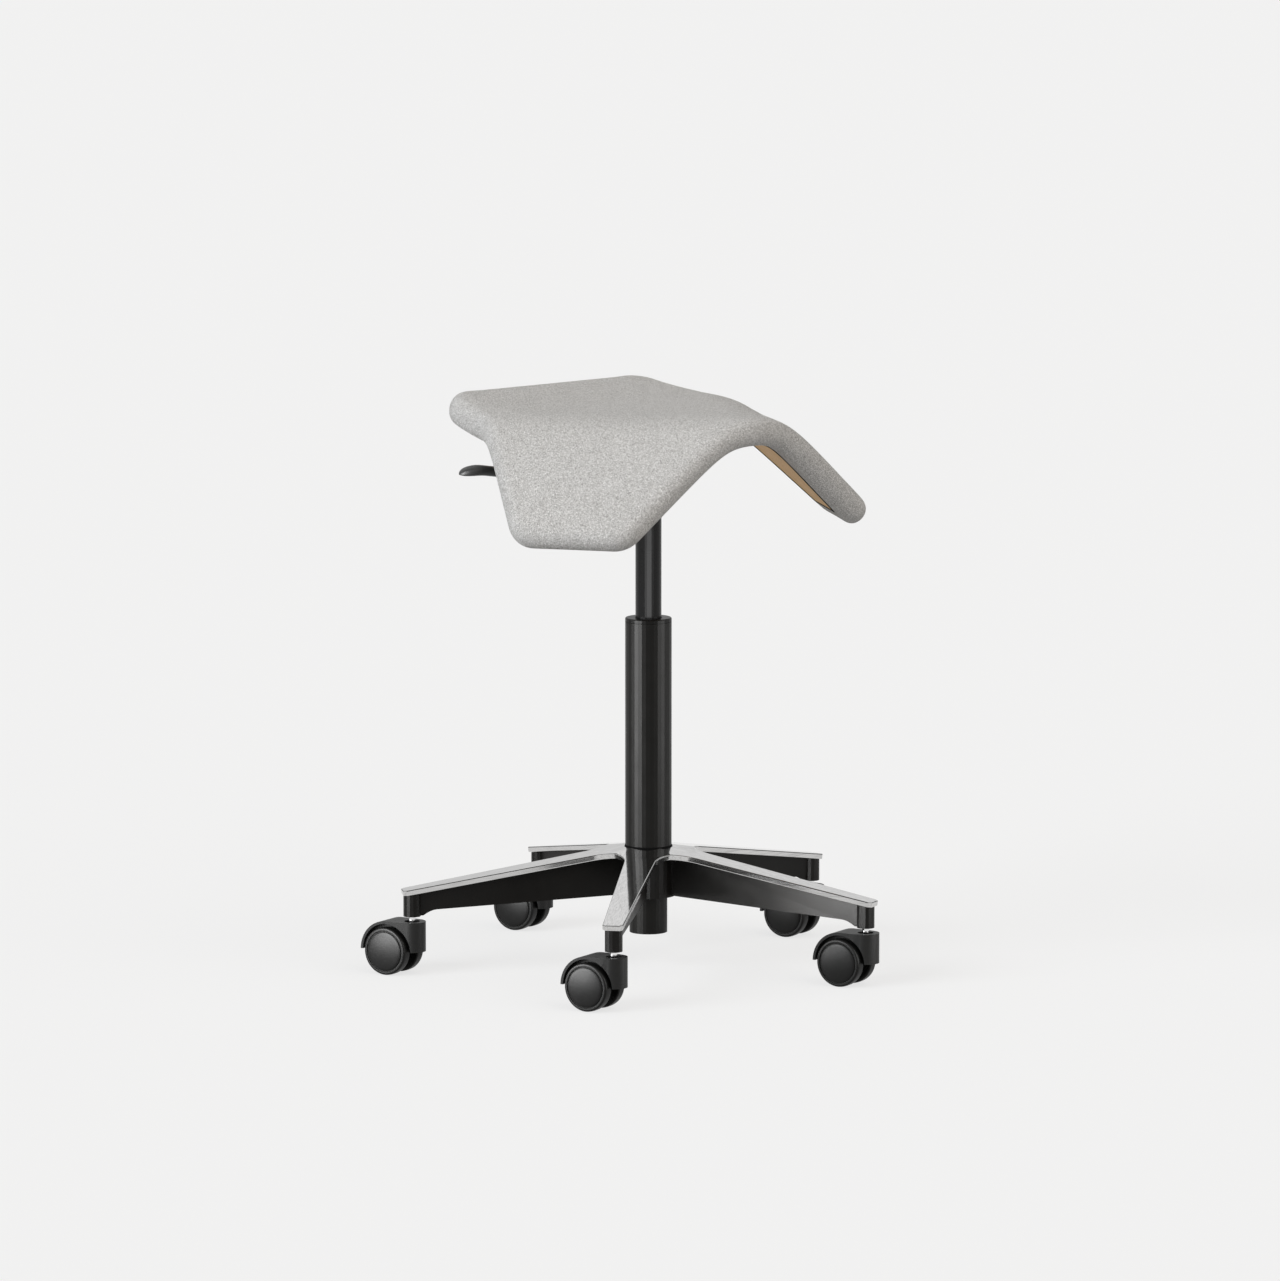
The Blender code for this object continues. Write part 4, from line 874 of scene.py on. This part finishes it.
# Lever handle
GRIP_STATIONS = 30
GRIP_STEPS = 32
GRIP_WAIST = 0.0006
GRIP_DIP = 0.0017
GRIP_DIP_FROM = 0.31
GRIP_DIP_RUN = 0.21
GRIP_CROWN = 0.0030
GRIP_CROWN_FROM = 0.50
GRIP_CROWN_RUN = 0.30
GRIP_NOSE_END = 0.0004
GRIP_MOUTH_EASE = 0.0006
GRIP_MOUTH_SHARE = 0.90


def grip_loop(share):
    """One section of the paddle: a flat-sided oval, arched, waisted below and drooping to its nose."""
    length = LEVER_REACH - LEVER_GRIP_OUT
    along = share * length
    nose = max(0.0, (along - length + GRIP_NOSE) / GRIP_NOSE)
    swell = math.sqrt(max(GRIP_NOSE_END, 1.0 - nose * nose))
    width = (GRIP_NECK_HALF + (GRIP_HALF_WIDTH - GRIP_NECK_HALF) * min(1.0, along / GRIP_FLARE)) * swell
    droop = (GRIP_HALF_DEPTH - GRIP_TIP_DEPTH) * (1.0 - swell)
    depth = GRIP_HALF_DEPTH - droop - GRIP_TIP_DEPTH * nose**6
    slope = LEVER_DROP / (LEVER_GRIP_OUT - LEVER_BEND_OUT)
    crown = GRIP_CROWN * smooth_step((share - GRIP_CROWN_FROM) / GRIP_CROWN_RUN)
    dip = GRIP_DIP * smooth_step((share - GRIP_DIP_FROM) / GRIP_DIP_RUN)
    middle = -LEVER_DROP - min(along, LEVER_INSERT) * slope - droop + crown - dip
    out = LEVER_GRIP_OUT - LEVER_PIVOT_OUT + along
    loop = []
    for angle in np.linspace(0.0, 2 * math.pi, GRIP_STEPS, endpoint=False):
        aside = math.copysign(abs(math.cos(angle)) ** GRIP_SQUARENESS, math.cos(angle))
        rise = math.copysign(abs(math.sin(angle)) ** GRIP_SQUARENESS, math.sin(angle))
        waist = GRIP_WAIST * math.sin(math.pi * min(1.0, share)) if rise < 0.0 else 0.0
        loop.append((out, aside * width, middle + rise * depth - rise * waist))
    return loop


def build_handle():
    """The paddle on the end of the release lever."""
    shares = [math.sin(0.5 * math.pi * k / GRIP_STATIONS) for k in range(GRIP_STATIONS + 1)]
    loops = [grip_loop(share) for share in shares]
    mouth = np.array(loops[0]) * (1.0, GRIP_MOUTH_SHARE, 1.0) - (GRIP_MOUTH_EASE, 0.0, 0.0)
    tips = [np.mean(mouth, axis=0), np.mean(loops[-1], axis=0)]
    points, faces = lofted([mouth, *loops], *tips)
    handle = linked("paddle", skin_mesh("paddle", points, faces, 50.0), PADDLE_BLACK)
    low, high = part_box("lever_pivot")
    pivot = heading_point(LEVER_HEADING, LEVER_PIVOT_OUT, (low.z + high.z) / 2)
    handle.matrix_world = Matrix.Translation(pivot) @ Matrix.Rotation(bearing_turn(LEVER_HEADING), 4, "Z")
    carried(handle, "lever", "black_nylon", "lever_handle")


# Base
PLATE_SLOPE = PLATE_RISE / (PLATE_TIP_R - TUBE_R)
PLATE_HUB_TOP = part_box("column_tube")[1].z - TUBE_HEIGHT
PLATE_EASE = 0.0010
FILLET_STEPS = 10
HUB_STEPS = 12
RIM_STEEP = 0.22
RIM_FLAT = 0.92
RIM_CLEAR_OF_TUBE = 0.003


def arm_half_width(along):
    share = (along - PLATE_ROOT_R) / (PLATE_TIP_R - PLATE_ROOT_R)
    return PLATE_HALF_ROOT + (PLATE_HALF_TIP - PLATE_HALF_ROOT) * share


def star_edge():
    """Half of one arm's edge, from the valley between two arms out to the tip."""
    sector = math.pi / ARM_COUNT
    taper = (PLATE_HALF_ROOT - PLATE_HALF_TIP) / (PLATE_TIP_R - PLATE_ROOT_R)
    lean = math.atan(taper)
    spread = math.sin(sector) + taper * math.cos(sector)
    reach = (PLATE_FILLET_R / math.cos(lean) + arm_half_width(0.0)) / spread
    centre = (reach * math.cos(sector), reach * math.sin(sector))
    first, last = 270.0 - math.degrees(lean), 180.0 + math.degrees(sector)
    fillet = arc(centre, PLATE_FILLET_R, last, first, FILLET_STEPS)
    full_end = PLATE_TIP_R - PLATE_TIP_CHAMFER
    corner = (PLATE_TIP_R, arm_half_width(PLATE_TIP_R) - PLATE_TIP_NARROW)
    return [*fillet, (full_end, arm_half_width(full_end)), corner]


def build_plate():
    """The polished star: one sloping face an arm, thickened and eased."""
    sector = math.pi / ARM_COUNT
    half = star_edge()
    edge = [(x, -y) for x, y in half] + list(reversed(half))
    angles = np.linspace(sector, -sector, HUB_STEPS + 1)
    hub = [(PLATE_HOLE_R * math.cos(a), PLATE_HOLE_R * math.sin(a)) for a in angles]
    bm = bmesh.new()
    for heading in arm_headings():
        turn = Matrix.Rotation(bearing_turn(heading), 4, "Z")
        ring = [turn @ Vector((x, y, PLATE_HUB_TOP - PLATE_SLOPE * (x - TUBE_R))) for x, y in edge + hub]
        bm.faces.new([bm.verts.new(p) for p in ring])
    bmesh.ops.remove_doubles(bm, verts=bm.verts, dist=1e-5)
    plate = linked("star_plate", mesh_from("star_plate", bm, 4.0), POLISHED)
    thick = plate.modifiers.new("thickness", "SOLIDIFY")
    thick.thickness = PLATE_THICK
    thick.offset = -1.0
    thick.use_even_offset = True
    applied(plate)
    smoothed(plate.data, 12.0)
    softened(plate, PLATE_EASE, 3, 50.0)
    applied(plate)
    mark_arms(plate.data)
    carried(plate, "base", "polished", "base_plate")


def mark_arms(mesh):
    """Lays each arm's own directions on its faces, and marks the eased upper edge of the star, which the
    plate's colour paints with a dark reflection.
    """
    turns = [bearing_turn(heading) for heading in arm_headings()]
    lay = np.zeros((len(mesh.loops), 3), np.float32)
    rim, side = [], []
    for face in mesh.polygons:
        spot = face.center
        turn = max(turns, key=lambda given: spot.x * math.cos(given) + spot.y * math.sin(given))
        for corner in face.loop_indices:
            point = mesh.vertices[mesh.loops[corner].vertex_index].co
            along = point.x * math.cos(turn) + point.y * math.sin(turn)
            across = point.y * math.cos(turn) - point.x * math.sin(turn)
            lay[corner] = (along, across, point.z)
        # Eased faces clear of the tube carry the painted dark reflection
        eased = RIM_STEEP < face.normal.z < RIM_FLAT
        clear = math.hypot(spot.x, spot.y) > TUBE_R + RIM_CLEAR_OF_TUBE
        rim.append(1.0 if eased and clear else 0.0)
        side.append(1.0 if abs(face.normal.z) <= RIM_STEEP else 0.0)
    mesh.attributes.new("arm_lay", "FLOAT_VECTOR", "CORNER").data.foreach_set("vector", lay.ravel())
    mesh.attributes.new("painted_edge_reflection", "FLOAT", "FACE").data.foreach_set("value", rim)
    mesh.attributes.new("arm_side", "FLOAT", "FACE").data.foreach_set("value", side)


FOOT_ABOVE = 0.0016
FOOT_BELOW = 0.0020
FOOT_OUT = 0.00035
FOOT_GAP = 0.00002
FOOT_EASE = (0.0002, 0.0003)


def build_column_foot():
    """Ring that closes the gap round the column's foot, coloured near-black as painted shade for the
    shadowed gap there.
    """
    top = PLATE_HUB_TOP + FOOT_ABOVE
    low = PLATE_HUB_TOP - FOOT_BELOW
    outer = TUBE_R + FOOT_OUT
    inner = TUBE_R + FOOT_GAP
    eased = [(outer - FOOT_EASE[0], top), (outer, top - FOOT_EASE[1])]
    profile = [(inner, top), *eased, (outer, low), (inner, low)]
    ring = linked("column_foot", turned_mesh("column_foot", profile, 96), GAP_SHADE_BLACK)
    carried(ring, "base", "black_rubber")


# Casters
WHEEL_DOME = 0.0024
WHEEL_DOME_SHARES = (0.0, 0.15, 0.3, 0.45, 0.6, 0.72, 0.84)
GROOVE_DEPTH = 0.0010
RIM_ROUND = 0.0022
BACK_ROUND = 0.0012
TREAD_CROWN = 0.0001
AXLE_HOLE_R = 0.0033
AXLE_HOLE_HALF = 0.0170
AXLE_HOLE_STOP = 0.0030
FENDER_LIP_DEG = 0.5
HOOD_EASE = 0.0007
HOOD_OVERCUT = 0.0010
STEM_SEAT = 0.0243
WEB_GAP = 0.0012
WELL_OVERCUT = 0.0040
ROUNDING_MIDDLE = 0.0300
ROUNDING_HALF = 0.0500


def wheel_profile():
    """Half of a twin wheel: domed disc, narrow groove, rounded rim, crowned tread and hollow back."""
    face = WHEEL_HALF_TRACK
    inside = WHEEL_HALF_TRACK - WHEEL_WIDTH
    disc = WHEEL_DISC_R
    dome = [(disc * s, face + WHEEL_DOME * (1.0 - s * s)) for s in WHEEL_DOME_SHARES]
    lip = [(disc - 0.0011, face + 0.00024), (disc - 0.0004, face - 0.00012), (disc, face - 0.0005)]
    groove = [(disc + 0.0001, face - GROOVE_DEPTH), (disc + 0.0008, face - GROOVE_DEPTH)]
    groove += [(disc + 0.0009, face - 0.0005), (disc + 0.0012, face - 0.00008)]
    rim = arc((WHEEL_R - RIM_ROUND - 0.0002, face - RIM_ROUND), RIM_ROUND, 90.0, 12.0, 5)
    tread = [
        (WHEEL_R - TREAD_CROWN, face - 0.0034),
        (WHEEL_R, face - WHEEL_WIDTH / 2),
        (WHEEL_R - TREAD_CROWN, inside + 0.0016),
    ]
    back = arc((WHEEL_R - BACK_ROUND - TREAD_CROWN, inside + BACK_ROUND), BACK_ROUND, 0.0, -90.0, 3)
    hollow = [
        (WHEEL_R - 0.0034, inside),
        (WHEEL_R - 0.0038, inside + 0.0025),
        (0.0080, inside + 0.0030),
        (0.0074, inside),
        (AXLE_HOLE_R, inside),
        (AXLE_HOLE_R, face - AXLE_HOLE_STOP),
        (0.0, face - AXLE_HOLE_STOP),
    ]
    return [*dome, *lip, *groove, *rim, *tread, *back, *hollow]


def hood_mesh():
    """Caster housing: fender over the wheels, web between them and round back at the stem."""
    axle = (CASTER_TRAIL, WHEEL_R)
    lip = arc(axle, FENDER_OUTER_R, FENDER_LIP_DEG, 90.0, 24)
    boss = arc(axle, AXLE_BOSS_R, 225.0, 315.0, 10)
    inner_lip = arc(axle, FENDER_INNER_R, FENDER_LIP_DEG, FENDER_LIP_DEG, 1)[0]
    left = axle[0] - FENDER_INNER_R
    stem_side = [(-HOOD_BACK_R, HOOD_TOP), (-HOOD_BACK_R, HOOD_SKIRT), (left, HOOD_SKIRT)]
    outline = [*lip, *stem_side, *boss, inner_lip]
    blank = linked("hood_blank", prism_mesh("hood", outline, HOOD_HALF_WIDTH))
    front = CASTER_TRAIL + FENDER_OUTER_R + HOOD_OVERCUT
    side = HOOD_HALF_WIDTH + HOOD_OVERCUT
    above = HOOD_TOP + HOOD_OVERCUT
    plan = [(HOOD_KNEE, -side), (front, -side), (front, side), (HOOD_KNEE, side)]
    plan += arc((0.0, 0.0), HOOD_BACK_R, 90.0, 270.0, 28)
    rounding = prism_mesh("rounding", plan, ROUNDING_HALF)
    cut(blank, rounding, (0.0, 0.0, ROUNDING_MIDDLE), (-math.pi / 2, 0.0, 0.0), "INTERSECT")
    web = WHEEL_HALF_TRACK - WHEEL_WIDTH - WEB_GAP
    for way in (-1.0, 1.0):
        well = turned_mesh("well", rod(FENDER_INNER_R, web, WHEEL_HALF_TRACK + WELL_OVERCUT), 88)
        cut(blank, well, (axle[0], 0.0, axle[1]), (-way * math.pi / 2, 0.0, 0.0))
    cut(blank, turned_mesh("stem_seat", rod(STEM_R + CLEARANCE, HOOD_TOP - STEM_SEAT, above), 32))
    cut(blank, turned_mesh("recess", rod(HOOD_RECESS_R, HOOD_TOP - HOOD_RECESS, above), 40))
    hole = turned_mesh("axle_hole", rod(AXLE_HOLE_R, -AXLE_HOLE_HALF, AXLE_HOLE_HALF), 24)
    cut(blank, hole, (axle[0], 0.0, axle[1]), (math.pi / 2, 0.0, 0.0))
    applied(blank)
    smoothed(blank.data, 30.0)
    softened(blank, HOOD_EASE, 2, 35.0)
    applied(blank)
    mesh = blank.data
    bpy.data.objects.remove(blank, do_unlink=True)
    return mesh


def build_casters():
    """Housings and tyres, which share two meshes."""
    hood = hood_mesh()
    hood.materials.append(MOULDED_BLACK)
    wheel = turned_mesh("wheel", wheel_profile(), 72, 38.0)
    wheel.materials.append(WHEEL_BLACK)
    turn = Matrix.Rotation(bearing_turn(CASTER_HEADING), 4, "Z")
    for index, heading in enumerate(arm_headings(), start=1):
        swivel = Matrix.Translation(heading_point(heading, CASTER_CIRCLE_R)) @ turn
        housing = linked(f"housing_{index}", hood)
        housing.matrix_world = swivel
        carried(housing, f"caster_{index}", "black_nylon", f"caster_hood_{index}")
        for side, way in (("left", -1.0), ("right", 1.0)):
            roller = linked(f"tyre_{side}_{index}", wheel)
            lay = Matrix.Rotation(way * math.pi / 2, 4, "X")
            roller.matrix_world = swivel @ Matrix.Translation((CASTER_TRAIL, 0.0, WHEEL_R)) @ lay
            carried(roller, f"roller_{side}_{index}", "black_nylon", f"wheel_{side}_{index}")


# Stage: pale floor, even sky, a soft key and a soft fill, and cards for the black pieces' highlights
BACKDROP = 0.8796
FLOOR_GLOW = 0.74
FLOOR_LIFT = 1.095
FLOOR_BOUNCE = 0.48
FLOOR_REACH = 60.0
FLOOR_DROP = 0.0002
SKY_STRENGTH = 0.30
SKY_COLOUR = (1.02, 1.0, 0.97, 1.0)
HORIZON_GLOW = 0.72
OVERHEAD_GLOW = 0.97
GLOW_RISES_FROM = 0.16
GLOW_RISES_TO = 0.42
KEY_TOWARDS = (-RIGHT * 0.72 - AWAY * 0.56 + UP * 0.38).normalized()
KEY_COLOUR = (0.97, 1.0, 1.03)
FILL_TOWARDS = (RIGHT * 0.60 - AWAY * 0.50 + UP * 0.62).normalized()
FILL_COLOUR = (1.06, 1.0, 0.93)
CARD_DISTANCE = 0.8


def stage_floor():
    """A floor that shows as pale as the backdrop and throws less light back."""
    bm = bmesh.new()
    bmesh.ops.create_grid(bm, x_segments=1, y_segments=1, size=FLOOR_REACH)
    floor = linked("floor", mesh_from("floor", bm))
    floor.location = (0.0, 0.0, -FLOOR_DROP)
    g = Graph("pale_floor")
    paths = g.add("ShaderNodeLightPath")
    seen = g.math("ADD", paths.outputs["Is Camera Ray"], paths.outputs["Is Glossy Ray"], clamp=True)
    seen = g.math("ADD", seen, paths.outputs["Is Transmission Ray"], clamp=True)
    plain = g.add("ShaderNodeBsdfDiffuse")
    g.plug(plain.inputs["Color"], g.mix(seen, grey(FLOOR_BOUNCE), grey(BACKDROP)))
    glow = g.add("ShaderNodeEmission")
    glow.inputs["Color"].default_value = grey(BACKDROP * FLOOR_LIFT)
    blend = g.add("ShaderNodeMixShader")
    g.plug(blend.inputs[0], g.math("MULTIPLY", seen, FLOOR_GLOW))
    g.plug(blend.inputs[1], plain.outputs[0])
    g.plug(blend.inputs[2], glow.outputs[0])
    output = g.tree.nodes["Material Output"]
    g.plug(output.inputs["Surface"], blend.outputs[0])
    floor.data.materials.append(g.material)


def stage_sky():
    """An even sky that lights, a plain backdrop that shows, and a soft gradient for what mirrors it."""
    world = bpy.data.worlds.new("even_sky")
    world.use_nodes = True
    scene.world = world
    tree = world.node_tree
    paths = tree.nodes.new("ShaderNodeLightPath")
    light = tree.nodes["Background"]
    light.inputs["Color"].default_value = SKY_COLOUR
    light.inputs["Strength"].default_value = SKY_STRENGTH
    behind = tree.nodes.new("ShaderNodeBackground")
    behind.inputs["Color"].default_value = grey(BACKDROP)
    shown = tree.nodes.new("ShaderNodeBackground")
    shown.inputs["Color"].default_value = grey(1.0)
    where = tree.nodes.new("ShaderNodeTexCoord")
    split = tree.nodes.new("ShaderNodeSeparateXYZ")
    tree.links.new(where.outputs["Generated"], split.inputs[0])
    rise = tree.nodes.new("ShaderNodeMapRange")
    limits = (GLOW_RISES_FROM, GLOW_RISES_TO, HORIZON_GLOW, OVERHEAD_GLOW)
    for key, value in zip(("From Min", "From Max", "To Min", "To Max"), limits):
        rise.inputs[key].default_value = value
    tree.links.new(split.outputs["Z"], rise.inputs["Value"])
    tree.links.new(rise.outputs["Result"], shown.inputs["Strength"])
    result = light.outputs[0]
    views = {"Is Camera Ray": behind, "Is Transmission Ray": behind, "Is Glossy Ray": shown}
    for ray, view in views.items():
        blend = tree.nodes.new("ShaderNodeMixShader")
        tree.links.new(paths.outputs[ray], blend.inputs[0])
        tree.links.new(result, blend.inputs[1])
        tree.links.new(view.outputs[0], blend.inputs[2])
        result = blend.outputs[0]
    tree.links.new(result, tree.nodes["World Output"].inputs["Surface"])


def stage_sun(name, towards, colour, *left_out, irradiance, spread):
    """A soft distant light on everything but the named pieces."""
    lamp = bpy.data.lights.new(name, "SUN")
    lamp.energy = irradiance
    lamp.color = colour
    lamp.angle = math.radians(spread)
    thing = bpy.data.objects.new(name, lamp)
    scene.collection.objects.link(thing)
    thing.rotation_euler = towards.to_track_quat("Z", "Y").to_euler()
    unlit = bpy.data.collections.new(name)
    for piece in left_out:
        unlit.objects.link(scene.objects[piece])
    thing.light_linking.receiver_collection = unlit
    for member in unlit.collection_objects:
        member.light_linking.link_state = "EXCLUDE"


def stage_card(name, *shown_in, bearing, width, height, radiance, distance=CARD_DISTANCE):
    """A soft card that stands on the floor and shows only in the gloss of the named pieces."""
    lamp = bpy.data.lights.new(name, "AREA")
    lamp.shape = "RECTANGLE"
    lamp.size = width
    lamp.size_y = height
    lamp.energy = radiance * math.pi * width * height
    thing = bpy.data.objects.new(name, lamp)
    scene.collection.objects.link(thing)
    turn = math.radians(bearing)
    outward = RIGHT * math.sin(turn) - AWAY * math.cos(turn)
    thing.location = outward * distance + UP * height / 2
    thing.rotation_euler = outward.to_track_quat("Z", "Y").to_euler()
    thing.visible_camera = False
    thing.visible_diffuse = False
    pieces = bpy.data.collections.new(name)
    for piece in scene.objects:
        if piece_kind(piece.name) in shown_in:
            pieces.objects.link(piece)
    thing.light_linking.receiver_collection = pieces
    return thing


TYRES = ("tyre_left", "tyre_right")
CASTERS = ("housing", *TYRES)
BASE_PIECES = ("column_tube", "column_cap", "base_spider")

scene.view_settings.view_transform = "Standard"
make_camera()
stage_floor()
stage_sky()
dress_cad_nodes()
build_cushion()
build_shell()
build_hem_cord()
build_handle()
build_plate()
build_column_foot()
build_casters()
stage_sun("key", KEY_TOWARDS, KEY_COLOUR, "star_plate", irradiance=2.16, spread=40.0)
stage_sun("fill", FILL_TOWARDS, FILL_COLOUR, "star_plate", irradiance=0.86, spread=60.0)
stage_card("left_card", *BASE_PIECES, "paddle", bearing=-56.0, width=0.48, height=0.9, radiance=18.0)
stage_card("tyre_card", *TYRES, bearing=-60.0, width=0.60, height=0.6, radiance=26.0)
stage_card("hood_card", "housing", bearing=-60.0, width=0.60, height=0.6, radiance=12.0)
stage_card("right_card", *BASE_PIECES, *CASTERS, bearing=69.0, width=0.46, height=0.8, radiance=6.6)
stage_card("front_card", "pressure_tube", bearing=3.0, width=0.8, height=0.9, radiance=4.7)
# The last card is turned to face right, so that only the right-hand rib shows it
rib_card = stage_card(
    "rib_card", "base_spider", bearing=-2.9, distance=0.40, width=0.32, height=0.3, radiance=41.0
)
rib_card.rotation_euler = (-RIGHT).to_track_quat("Z", "Y").to_euler()
rib_card.data.use_shadow = False
